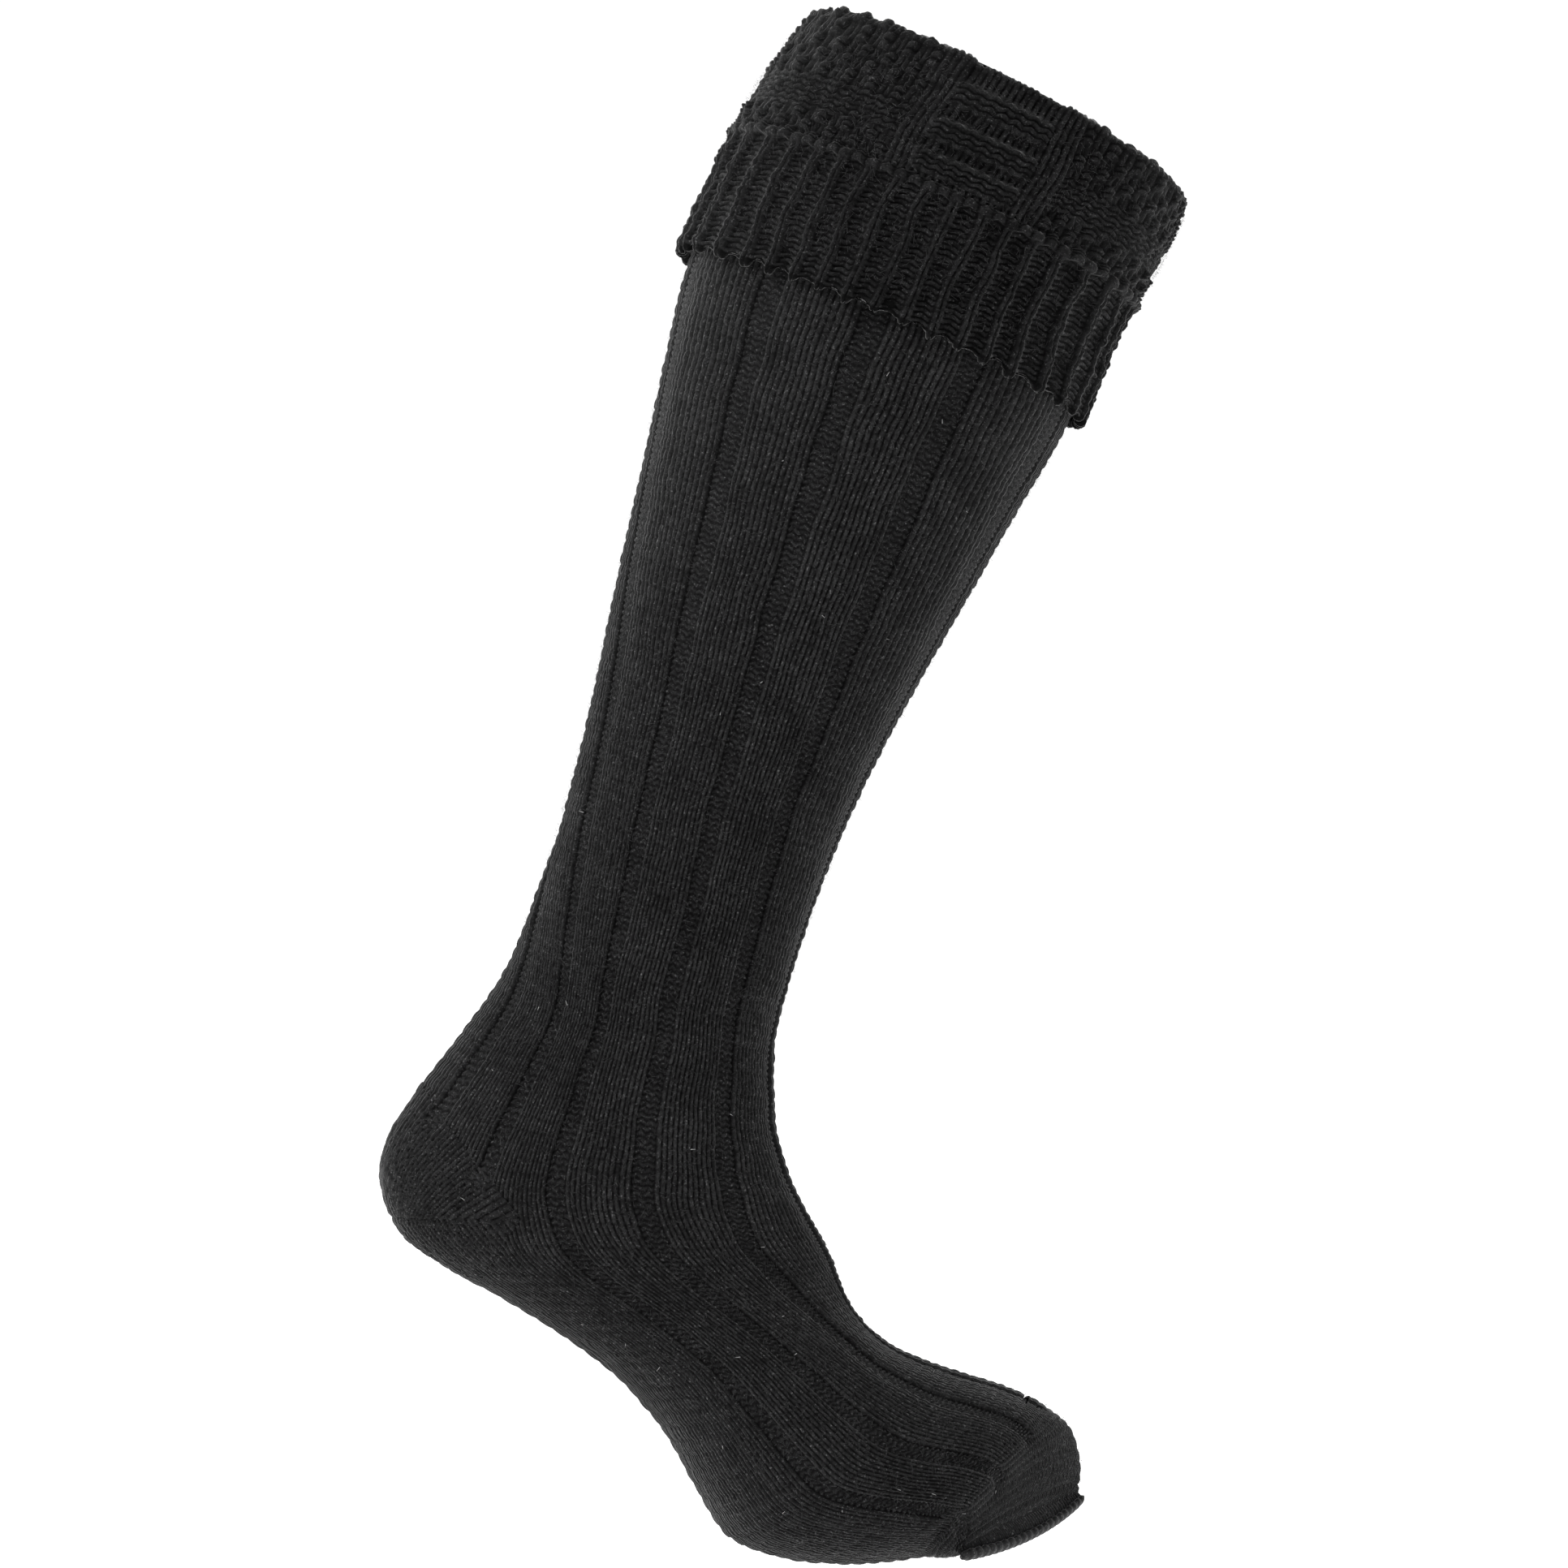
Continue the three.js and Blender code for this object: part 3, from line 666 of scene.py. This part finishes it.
def fanned_wales(points, plane, distance, wale, run):
    """Wales past a plane, each run on in a half plane from an axis through the gore's corner."""
    corner = np.array(plane[0]) / MM
    reach = unit(np.array((run[1], 0, -run[0])))
    angle = np.arctan2(-points[..., 1], (points - corner) @ reach)
    crossing = np.flatnonzero((distance > 0).any(0))
    first = (distance > 0).argmax(0)[crossing]
    before, after = distance[first - 1, crossing], distance[first, crossing]
    start = lerp(angle[first - 1, crossing], angle[first, crossing], before / (before - after))
    return np.interp(angle, start, wale[crossing])


def heel_sheet():
    back = skin(fine_stations, np.array([0.0]))[0][:, 0]
    length = np.concatenate([[0], np.cumsum(np.linalg.norm(np.diff(back, axis=0), axis=1))])
    ends = np.interp([HEEL_START, HEEL_STOP], fine_stations, length)
    stations = np.interp(np.arange(ends[0], ends[1], HEEL_STEP), length, fine_stations)
    wale = np.arange(-HEEL_REACH * WALE_PARTS, HEEL_REACH * WALE_PARTS + 1) / WALE_PARTS
    points, outward = skin(stations, wale)
    normal = surface_normals(points, outward)
    above = plane_distance(points, heel_top, 1)
    below = plane_distance(points, heel_end, -1)
    gore = (above - below) / 2
    upper = gore < 0
    wale_above = fanned_wales(points, heel_top, above, wale, UPPER_RUN)
    wale_below = fanned_wales(points[::-1], heel_end, below[::-1], wale, LOWER_RUN)[::-1]
    across = np.where(upper, wale_above, wale_below)
    down = np.where(upper, above, -below) / HEEL_COURSE
    strand = np.floor(2 * across * HEEL_GAUGE).astype(int) % (2 * WALES)
    here = np.floor(down).astype(int) % len(heel_strands)
    yarn = knit_stitch(across * HEEL_GAUGE % 1, down % 1, dip=0.2) * heel_strands[here, strand]
    fade = smooth(0.0, GORE_FADE, np.abs(gore))
    away = from_channel(across)
    sunk = smooth(HEEL_RIB_END, 4, above) * upper
    in_channel = (away < 1) & (sunk > 0.5)
    purl = purl_stitch(across % 1, down % 1)
    height = YARN_HEIGHT * np.where(in_channel, purl, yarn) * (0.6 + 0.4 * fade) - YARN_SINK
    height += rib_crown(away) * smooth(HEEL_RIB_END, 0, above) - CHANNEL_FLOOR * sunk * in_floor(away)
    height -= 0.1 * (1 - fade)
    # Painted shade: darker between the strands and along the sunk gore line
    tone = np.where(in_channel, purl_painted_shade(purl), 0.85 * yarn) * (0.75 + 0.25 * fade)
    return grid_sheet(points + normal * height[..., None], outward, (across, -down), tone, closed=False)


heel = heel_sheet()
keep_side(heel, heel_top, 1)
keep_side(heel, heel_end, -1)
finish_mesh("turned_heel", heel, plain_wool, ["heel"])


# Toe: plain stocking stitch, narrowed along a line on each side. Past the toe line it is all
# narrowed after 36 mm and the foot's ribs have run out after 10 mm.
TOE_START = FIRST_FOOT_STATION + 14.2
NARROWING = 36
TOE_RIB_END = 10

# How much further out the middle of the toe's end stands than its corners, as a share
TOE_BULGE = 2.0

# The last stitches before the seam stand up as a flap, with a groove behind it
FLAP = 5.5
FLAP_GROOVE_HALF = 0.9

# How the toe closes: share of the way from its last round to the seam, and height over that round
CLOSING = ((0.0, 0.5), (0.15, 1.0), (0.5, 1.7), (1.0, 1.9))


def seam_line():
    """Middle of the toe seam, its outer end from there, and the way out of the toe."""
    back_x, back_z, front_x, front_z, half = at_station([LAST_STATION])[0, :5]
    middle = np.array(((back_x + front_x) / 2, 0, (back_z + front_z) / 2))
    slant = np.array((-SEAM_LEAD, -1, -SEAM_LIFT)) * half
    ahead = unit(np.array((front_x - back_x, 0, front_z - back_z)))
    return middle, slant, unit(np.cross(ahead, slant))


def toe_wales(points, rows, wale, beyond):
    """Wales of the toe, which leave the foot straight and soon run in to the narrowing lines."""
    step = np.linalg.norm(np.diff(points, axis=1), axis=2)
    girth = step.sum(1, keepdims=True)
    twist = at_station(station_of(rows))[:, 6:7]
    start = (wale / WALES + twist) % 1
    pitch = girth[0, 0] / WALES
    from_sole = np.where(start < 0.5, start, start - 1) * girth
    from_top = (start - 0.5) * girth
    on_top = np.abs(start - 0.5) < 0.25
    narrowed = np.where(on_top, from_top / pitch + WALES / 2, from_sole / pitch) - WALES * twist
    straight = np.where(on_top | (start < 0.5), wale, wale - WALES)
    from_line = np.abs(np.abs(start - 0.5) - 0.25) * girth
    return lerp(straight, narrowed, smooth(0, NARROWING, beyond)), from_line


def toe_sheet():
    first = int(course_of(TOE_START) * TOE_PARTS)
    last_course = fine_courses[-1]
    rows = np.append(np.arange(first, int(last_course * TOE_PARTS)) / TOE_PARTS, last_course)
    wale = np.arange(WALES * WALE_PARTS + 1) / WALE_PARTS
    points, outward = skin(station_of(rows), wale)
    beyond = plane_distance(points, toe_line, -1)
    across, from_line = toe_wales(points, rows, wale, beyond)
    to_seam = (last_course - rows)[:, None] * COURSE
    groove = np.exp(-(((to_seam - FLAP) / FLAP_GROOVE_HALF) ** 2))
    fade = smooth(0.0, 1.0, from_line) * (1 - 0.8 * groove)
    down = np.broadcast_to(rows[:, None], across.shape)
    away = from_channel(wale)[None, :]
    ribbed = (np.abs(wrapped(wale)) > HEEL_CHANNEL_REACH)[None, :] * smooth(TOE_RIB_END, 4, beyond)
    in_channel = (away < 1) & (ribbed > 0.5)
    knit, purl = knit_stitch(across % 1, down % 1), purl_stitch(across % 1, down % 1)
    yarn = np.where(in_channel, purl, knit)
    close_round(yarn)
    height = YARN_HEIGHT * yarn * (0.5 + 0.5 * fade) - YARN_SINK - 0.4 * (1 - fade)
    height += ribbed * (rib_crown(away) - CHANNEL_FLOOR * in_floor(away))
    close_round(height)
    # Painted shade: darker between the strands, along the sunk narrowing lines and in the groove behind the
    # flap
    tone = np.where(in_channel, purl_painted_shade(purl), 0.8 * yarn) * (0.6 + 0.4 * fade)
    laid = points + round_normals(points, outward) * height[..., None]
    middle, slant, facing = seam_line()
    side = (laid[-1] - middle) @ slant / (slant @ slant)
    seam_points = middle + side[:, None] * slant
    bulge = facing * (1 + TOE_BULGE * (1 - side[:, None] ** 2))
    closing = np.array([lerp(laid[-1], seam_points, share) + bulge * rise for share, rise in CLOSING])
    laid = np.concatenate([laid, closing])
    more = last_course + np.arange(1, len(CLOSING) + 1)[:, None] / TOE_PARTS
    down = np.concatenate([down, np.broadcast_to(more, (len(CLOSING), len(wale)))])
    outward, across, tone, to_seam = (
        np.concatenate([grid, np.repeat(grid[-1:], len(CLOSING), 0)])
        for grid in (outward, across, tone, to_seam)
    )
    # Painted light: paler towards the seam, over the flap and the closing rows, against the shade on them
    return grid_sheet(laid, outward, (across, -down), tone + 0.5 * smooth(FLAP, 0, to_seam))


toe = toe_sheet()
keep_side(toe, toe_line, -1)
finish_mesh("narrowed_toe", toe, plain_wool, ["toe"])


# Linked seam across the toe: an oval bead of loops that follows the toe's bulge
SEAM_THICK = 3.0
SEAM_WIDTH = 5.6
SEAM_LOOPS = 22
SEAM_SIDES = 14
LOOP_PARTS = 8
SEAM_REACH = 1.01


def seam_sheet():
    middle, slant, facing = seam_line()
    place = np.linspace(-1, 1, SEAM_LOOPS * LOOP_PARTS + 1)
    sag = SEAM_THICK / 2 + CLEARANCE + CLOSING[-1][1] * TOE_BULGE * (1 - place[:, None] ** 2)
    centre = middle + place[:, None] * slant * SEAM_REACH + facing * sag
    turn = np.linspace(0, 2 * np.pi, SEAM_SIDES + 1)
    phase = (place + 1) / 2 * SEAM_LOOPS
    bead = 0.5 + 0.5 * np.cos(2 * np.pi * (phase[:, None] + 0.3 * np.abs(np.sin(turn))[None, :]))
    end = np.sqrt(np.clip(1 - np.abs(place) ** 24, 0, 1))[:, None]
    radius = (0.84 + 0.16 * bead) * end + 0.01
    across = unit(np.cross(facing, unit(slant)))
    spoke = across * SEAM_WIDTH / 2 * np.cos(turn)[:, None]
    spoke = spoke + facing * SEAM_THICK / 2 * np.sin(turn)[:, None]
    points = centre[:, None] + spoke[None] * radius[..., None]
    close_round(points)
    outward = np.broadcast_to(spoke[None], points.shape)
    # Painted shade: darker between the loops
    return grid_sheet(points, outward, knit_uv(3 * turn / (2 * np.pi), -phase), 0.35 + 0.5 * bead)


finish_mesh("linked_toe_seam", seam_sheet(), seam_wool_painted_lighter, ["toe_seam"])


# Cuff: bands of stitches from the fold down, as courses and their share of the patterned band
BANDS = (
    (1, 0.135, "plain"),
    (2, 0.18, "welt"),
    (1, 0.1, "plain"),
    (2, 0.18, "welt"),
    (1, 0.1, "plain"),
    (2, 0.18, "welt"),
    (1, 0.045, "plain"),
    (1, 0.08, "ridge"),
)
FOLD_COURSES = 3
RIB_COURSES = 11
HEM_COURSES = 1
HIDDEN_COURSES = 3
CUFF_SINK = 0.6

# The fold runs down inside the leg, and the hem's hidden face runs up again behind the cuff
FOLD_INSIDE = 5.0
HEM_HIDDEN = 14

# How far the fold stands up over the leg's end, and over how much of the cuff that fades
FOLD_LIFT = 3.65
FOLD_LIFT_REACH = 25

# Purl wales of the rib draw the knit ones together, as a share of a wale
RIB_PINCH = 0.38

# How uneven the cuff's stitches are, in size, level, strand and place, and how ragged its hem is
CUFF_UNEVEN = 0.16
LEVEL_UNEVEN = 0.28
CUFF_STRAND_UNEVEN = 0.17
CUFF_LOOSENESS = 0.09
HEM_RAGGED = 0.3

# Kinds of stitch in the cuff, and each of its stitches: kind, level over the face, and size
KNIT, PURL, NUB, DASHES = range(4)
SHAPES = (knit_stitch, purl_stitch, nub, dashes)
STITCHES = {
    "rib": (KNIT, 0.7, 1.15),
    "between ribs": (PURL, -1.0, 0.9),
    "ridge": (NUB, 1.7, 1.3),
    "moss": (DASHES, 0.6, 1.2),
    "between moss": (KNIT, -0.4, 0.75),
    "purl band": (PURL, 0.0, 0.85),
    "welt": (PURL, 2.0, 1.0),
    "between welts": (KNIT, -1.2, 1.0),
    "under welts": (KNIT, -0.2, 1.0),
    "rail": (KNIT, 0.55, 1.1),
}

# The ladder's panel and rails reach so many wales from its middle, and the purl band runs between
# so many courses from the fold. On the fold the relief is flatter.
PANEL_REACH = 3
RAIL_REACH = 5
PURL_BAND = (5, 7)
FOLD_FLATTER = 0.6


def cuff_path():
    """Path of the cuff's face: up the inside, over the fold, down the outside and under the hem.

    Its points are a drop from the fold and a distance out from the leg. With them go their lengths
    along the path, the points where the outside, the hem and the hidden part start, and the fold's
    radius."""
    outer = CUFF_STANDOFF + CUFF_WALL
    fold = (outer + KNIT_WALL) / 2
    hem = CUFF_WALL / 2
    path = [(fold + FOLD_INSIDE, -KNIT_WALL)]
    for angle in np.linspace(0, np.pi, 25):
        path.append((fold * (1 - np.sin(angle)), outer - fold - fold * np.cos(angle)))
    start_outer = len(path) - 1
    for drop in np.linspace(fold, CUFF_DROP - hem, 60)[1:]:
        path.append((drop, outer + CUFF_FLARE * (drop / CUFF_DROP) ** 2))
    start_hem = len(path) - 1
    for angle in np.linspace(0, np.pi, 13)[1:]:
        out = outer + CUFF_FLARE - hem + hem * np.cos(angle)
        path.append((CUFF_DROP - hem + hem * np.sin(angle), out))
    start_hidden = len(path) - 1
    path.append((CUFF_DROP - HEM_HIDDEN, CUFF_STANDOFF + CUFF_FLARE * 0.6))
    path = np.array(path)
    length = np.concatenate([[0], np.cumsum(np.linalg.norm(np.diff(path, axis=0), axis=1))])
    return path, length, (start_outer, start_hem, start_hidden), fold


def cuff_courses(length, starts, fold):
    """Where each course of the cuff starts along the path, and the kind of each course."""
    start_outer, start_hem, start_hidden = starts
    edges = list(np.linspace(0, length[start_outer], FOLD_COURSES + 1)[:-1])
    kinds = ["fold"] * FOLD_COURSES
    place = length[start_outer]
    for count, share, kind in BANDS:
        height = share * (CUFF_DROP - RIB_BAND - fold)
        edges += [place + height * step / count for step in range(count)]
        kinds += [kind] * count
        place += height
    edges += list(np.linspace(place, length[start_hem], RIB_COURSES + 1)[:-1])
    kinds += ["rib"] * RIB_COURSES
    edges += list(np.linspace(length[start_hem], length[start_hidden], HEM_COURSES + 1)[:-1])
    kinds += ["hem"] * HEM_COURSES
    edges += list(np.linspace(length[start_hidden], length[-1], HIDDEN_COURSES + 1))
    kinds += ["rib"] * HIDDEN_COURSES
    return np.array(edges), kinds


def cuff_stitches(kinds):
    """A chart of the cuff: the kind of every stitch, its level over the face, and its size."""
    chart = np.zeros((3, len(kinds), WALES))
    wale = np.arange(WALES)
    every = np.ones(WALES, bool)
    odd = wale % 2 == 1
    from_ladder = np.min([np.abs(wale - middle) for middle in LADDER_MIDDLES], axis=0)
    panel = from_ladder <= PANEL_REACH
    rails = (from_ladder > PANEL_REACH) & (from_ladder <= RAIL_REACH)
    first = kinds.index("plain") - 1
    last_plain = len(kinds) - 1 - kinds[::-1].index("plain")
    for course, kind in enumerate(kinds):
        moss = (wale + course) % 2 == 1
        if kind in ("rib", "hem"):
            laid = (("rib", ~odd), ("between ribs", odd))
        elif kind == "ridge":
            laid = (("ridge", every),)
        else:
            banded = PURL_BAND[0] <= course - first <= PURL_BAND[1]
            ground = (("purl band", every),) if banded else (("moss", moss), ("between moss", ~moss))
            between = "between welts" if course < last_plain else "under welts"
            laid = (*ground, ("welt" if kind == "welt" else between, panel), ("rail", rails))
        for name, where in laid:
            chart[:, course, where] = np.array(STITCHES[name])[:, None]
        if kind == "fold":
            chart[1, course] *= FOLD_FLATTER
    return chart[0].astype(int), chart[1], chart[2]


def cuff_skin(rows, columns, place, path, length):
    """The cuff's face without its stitches: points of each row, and the way out at each."""
    drop = np.interp(place, length, path[:, 0])
    out = np.interp(place, length, path[:, 1])
    points = np.empty((len(rows), len(columns[0]), 3))
    outward = np.empty_like(points)
    for row in range(len(rows)):
        lift = FOLD_LIFT * smooth(FOLD_LIFT_REACH, 0, drop[row])
        station = [station_at_height(LEG_HEIGHT - drop[row] + lift)]
        line, away = skin(station, columns[row], np.full((1, len(columns[row])), out[row]))
        points[row], outward[row] = line[0], away[0]
    return points, outward


def cuff_sheet():
    path, length, starts, fold = cuff_path()
    edges, kinds = cuff_courses(length, starts, fold)
    stitch, level, size = cuff_stitches(kinds)
    size = size * (1 + CUFF_UNEVEN * rng.standard_normal(size.shape))
    level = level + LEVEL_UNEVEN * rng.standard_normal(level.shape)
    rows = np.arange(len(kinds) * CUFF_PARTS + 1) / CUFF_PARTS
    columns = np.arange(WALES * WALE_PARTS) / WALE_PARTS - 0.5
    course = np.minimum(np.floor(rows).astype(int), len(kinds) - 1)
    wale = np.floor(columns + 0.5).astype(int) % WALES
    x, y = ((columns + 0.5) % 1)[None, :], (rows % 1)[:, None]
    pick = np.ix_(course, wale)
    yarn = np.choose(stitch[pick], [shape(x, y) for shape in SHAPES])
    strands = 1 + CUFF_STRAND_UNEVEN * rng.standard_normal((2 * len(kinds) + 2, 2 * WALES))
    strand = np.floor(2 * columns + 1 + 1e-6).astype(int) % (2 * WALES)
    yarn = yarn * np.minimum(size[pick], 1.4) * strands[np.ix_((2 * rows + 1e-6).astype(int), strand)]
    # Painted shade: darker between the strands, and darker still from the hem on, under it and behind the
    # cuff
    tone = yarn * np.where(course >= kinds.index("hem"), 0.25, 1.0)[:, None]
    height = soften(level[pick], 2) + yarn - CUFF_SINK
    rib_start = kinds.index("rib")
    ribbed = smooth(rib_start - 0.3, rib_start + 0.7, rows)[:, None]
    loose = drift(loose_table(len(kinds) + 2, CUFF_LOOSENESS), rows, columns)
    pinched = columns + loose - RIB_PINCH / np.pi * ribbed * np.sin(np.pi * columns)
    place = np.interp(rows, np.arange(len(edges)), edges)
    points, outward = cuff_skin(rows, pinched, place, path, length)
    by_row = np.gradient(points, axis=0)
    by_column = (np.roll(points, -1, 1) - np.roll(points, 1, 1)) / 2
    normal = unit(np.cross(by_column, by_row))
    outer_row = (rib_start + 2) * CUFF_PARTS
    if (normal[outer_row] * outward[outer_row]).sum() < 0:
        normal = -normal
    wave = BAR_WAVE * (stitch[pick] != KNIT) * np.cos(2 * np.pi * x)
    points = points + normal * height[..., None] + unit(by_row) * wave[..., None]
    from_hem = (rows - kinds.index("hem")) / 1.5
    ragged = HEM_RAGGED * np.repeat(rng.standard_normal(WALES), WALE_PARTS)
    ends = np.where(wale % 2, -0.3, 0.3) + ragged
    points[..., 2] -= np.exp(-(from_hem**2))[:, None] * soften(np.broadcast_to(ends, height.shape), 2)
    points, normal, tone = (np.concatenate([grid, grid[:, :1]], 1) for grid in (points, normal, tone))
    map_columns = np.append(columns, columns[-1] + 1 / WALE_PARTS) + 0.5
    return grid_sheet(points, normal, knit_uv(map_columns, rows), tone)


finish_mesh("turned_down_cuff", cuff_sheet(), cuff_wool, ["turnover_cuff"])


# Inside of the sock: the purl face of the ribs, all the way down to the toe
def inside_sheet():
    rows = np.arange(0, int(course_of(LAST_STATION - 1)) + 1).astype(float)
    columns = np.arange(WALES * 2 + 1) / 2
    points, outward = skin(station_of(rows), columns, np.full((1, 1), -KNIT_WALL))
    height = np.where(np.arange(len(columns)) % 2, 0.25, -0.05) + np.zeros((len(rows), 1))
    points = points - outward * height[..., None]
    close_round(points)
    # Painted shade: darker in the hollows between the purl ridges
    return grid_sheet(points, -outward, knit_uv(columns, rows), height * 3)


finish_mesh("inside_wall", inside_sheet(), rib_wool, [])


# Loose hairs of the wool, which stand a little off the stitches, and specks of lint
HAIR_BATCH = 2000


def stray_wool(name, colour):
    material = bpy.data.materials.new(name)
    material.use_nodes = True
    shader = material.node_tree.nodes["Principled BSDF"]
    shader.inputs["Base Color"].default_value = (*colour, 1)
    shader.inputs["Roughness"].default_value = 0.9
    shader.inputs["Specular IOR Level"].default_value = 0.1
    return material


def stray_hairs(name, count, first, last, out, length, width, material, slot_name):
    """Straight hairs, scattered over the skin between two courses."""
    station = station_of(rng.uniform(first, last, count))
    wale = rng.uniform(0, WALES, (count, 1))
    roots, outward, ahead = np.empty((count, 3)), np.empty((count, 3)), np.empty((count, 3))
    off = np.full((1, 1), out)
    for batch in np.array_split(np.arange(count), max(1, count // HAIR_BATCH)):
        here, away = skin(station[batch], wale[batch], off)
        after = skin(station[batch] + 0.05, wale[batch], off)[0]
        roots[batch], outward[batch] = here[:, 0], away[:, 0]
        ahead[batch] = unit(after[:, 0] - here[:, 0])
    aside = np.cross(outward, ahead)
    turn = rng.uniform(0, 2 * np.pi, (count, 1))
    rise = rng.uniform(0.05, 0.7, (count, 1))
    course = unit(ahead * np.cos(turn) + aside * np.sin(turn) + outward * rise)
    half = unit(np.cross(course, outward)) * width / 2
    tips = roots + course * rng.uniform(0.4, 1.0, (count, 1)) * length
    bm = bmesh.new()
    bmesh.ops.create_grid(bm, x_segments=count, y_segments=1, size=1)
    across = [edge for edge in bm.edges if abs(edge.verts[0].co.x - edge.verts[1].co.x) < 1e-6]
    bmesh.ops.split_edges(bm, edges=across)
    bm.faces.ensure_lookup_table()
    for face, root, tip, side in zip(bm.faces, roots * MM, tips * MM, half * MM):
        for loop, place in zip(face.loops, (root - side, root + side, tip + side * 0.4, tip - side * 0.4)):
            loop.vert.co = place
    finish_mesh(name, bm, material, [])


hair_wool = stray_wool("hair_wool", (0.045, 0.045, 0.0455))
lint = stray_wool("lint", (0.5, 0.5, 0.5))
foot_course = course_of(FIRST_FOOT_STATION)
toe_course = course_of(LAST_STATION - 0.4)

# Name, count, first and last course, distance off the skin, length, width, material and slot
STRAYS = (
    ("leg_hairs", 15000, hem_course, foot_course, 0.55, 2.6, 0.08, hair_wool, "rib_knit"),
    ("foot_hairs", 15000, foot_course, toe_course, 0.45, 2.6, 0.08, hair_wool, "rib_knit"),
    ("cuff_hairs", 9000, 1.5, hem_course - 1, 4.4, 2.8, 0.08, hair_wool, "cuff_knit"),
    ("leg_lint", 60, hem_course, toe_course, 0.7, 1.8, 0.12, lint, "rib_knit"),
)
for strays in STRAYS:
    stray_hairs(*strays)


# Floor: a bright plain one, far enough down to keep its shadow out of sight
FLOOR_DROP = 0.30
FLOOR_HALF = 6

floor_bm = bmesh.new()
bmesh.ops.create_grid(floor_bm, x_segments=1, y_segments=1, size=FLOOR_HALF)
bmesh.ops.translate(floor_bm, verts=floor_bm.verts, vec=(0, 0, -FLOOR_DROP))
floor_mesh = bpy.data.meshes.new("floor")
floor_bm.to_mesh(floor_mesh)
floor_bm.free()
floor = bpy.data.objects.new("floor", floor_mesh)
bpy.context.scene.collection.objects.link(floor)
floor_paint = bpy.data.materials.new("floor_paint")
floor_paint.use_nodes = True
paint = floor_paint.node_tree.nodes["Principled BSDF"]
paint.inputs["Base Color"].default_value = (0.93, 0.93, 0.93, 1)
paint.inputs["Roughness"].default_value = 0.9
paint.inputs["Emission Color"].default_value = (1, 1, 1, 1)
paint.inputs["Emission Strength"].default_value = 0.45
floor_mesh.materials.append(floor_paint)


def studio():
    """A white studio, dimmer on the camera's side, so that the sock is palest at its edges."""
    world = bpy.data.worlds.new("studio")
    world.use_nodes = True
    nodes, links = world.node_tree.nodes, world.node_tree.links
    background = nodes["Background"]
    background.inputs["Color"].default_value = (1, 1, 1, 1)
    direction = nodes.new("ShaderNodeTexCoord")
    axes = nodes.new("ShaderNodeSeparateXYZ")
    links.new(direction.outputs["Generated"], axes.inputs[0])
    seen = nodes.new("ShaderNodeLightPath")
    strength = nodes.new("ShaderNodeMix")
    strength.data_type = "FLOAT"
    strength.inputs["B"].default_value = 1.05
    links.new(seen.outputs["Is Camera Ray"], strength.inputs["Factor"])
    links.new(ranged(nodes, links, axes.outputs["Y"], (-0.9, 0.3), (0.2, 1.3)), strength.inputs["A"])
    links.new(strength.outputs["Result"], background.inputs["Strength"])
    return world


bpy.context.scene.world = studio()
bpy.context.scene.view_settings.view_transform = "Standard"


def soft_light(name, place, target, size, power):
    data = bpy.data.lights.new(name, "AREA")
    data.shape = "SQUARE"
    data.size = size
    data.energy = power
    light = bpy.data.objects.new(name, data)
    light.location = place
    light.rotation_mode = "QUATERNION"
    light.rotation_quaternion = (Vector(target) - Vector(place)).to_track_quat("-Z", "Y")
    bpy.context.scene.collection.objects.link(light)


LIT_POINT = (0, 0, 0.1)
soft_light("key", (-1.7, -1.1, 1.2), LIT_POINT, 0.7, 42)
soft_light("side", (1.7, -0.2, 0.3), LIT_POINT, 0.8, 8)

# The camera looks level at the outer side, rolled so that the leg leans as it does in the photo
CAMERA_PLACE = (0.0208, -1.3, 0.1195)
CAMERA_ROLL = np.radians(20)
LENS = 89.7

camera_data = bpy.data.cameras.new("camera")
camera_data.lens = LENS
camera = bpy.data.objects.new("camera", camera_data)
level_view = Matrix.Rotation(np.pi / 2, 4, "X")
camera.matrix_world = Matrix.Translation(CAMERA_PLACE) @ Matrix.Rotation(-CAMERA_ROLL, 4, "Y") @ level_view
bpy.context.scene.collection.objects.link(camera)
bpy.context.scene.camera = camera
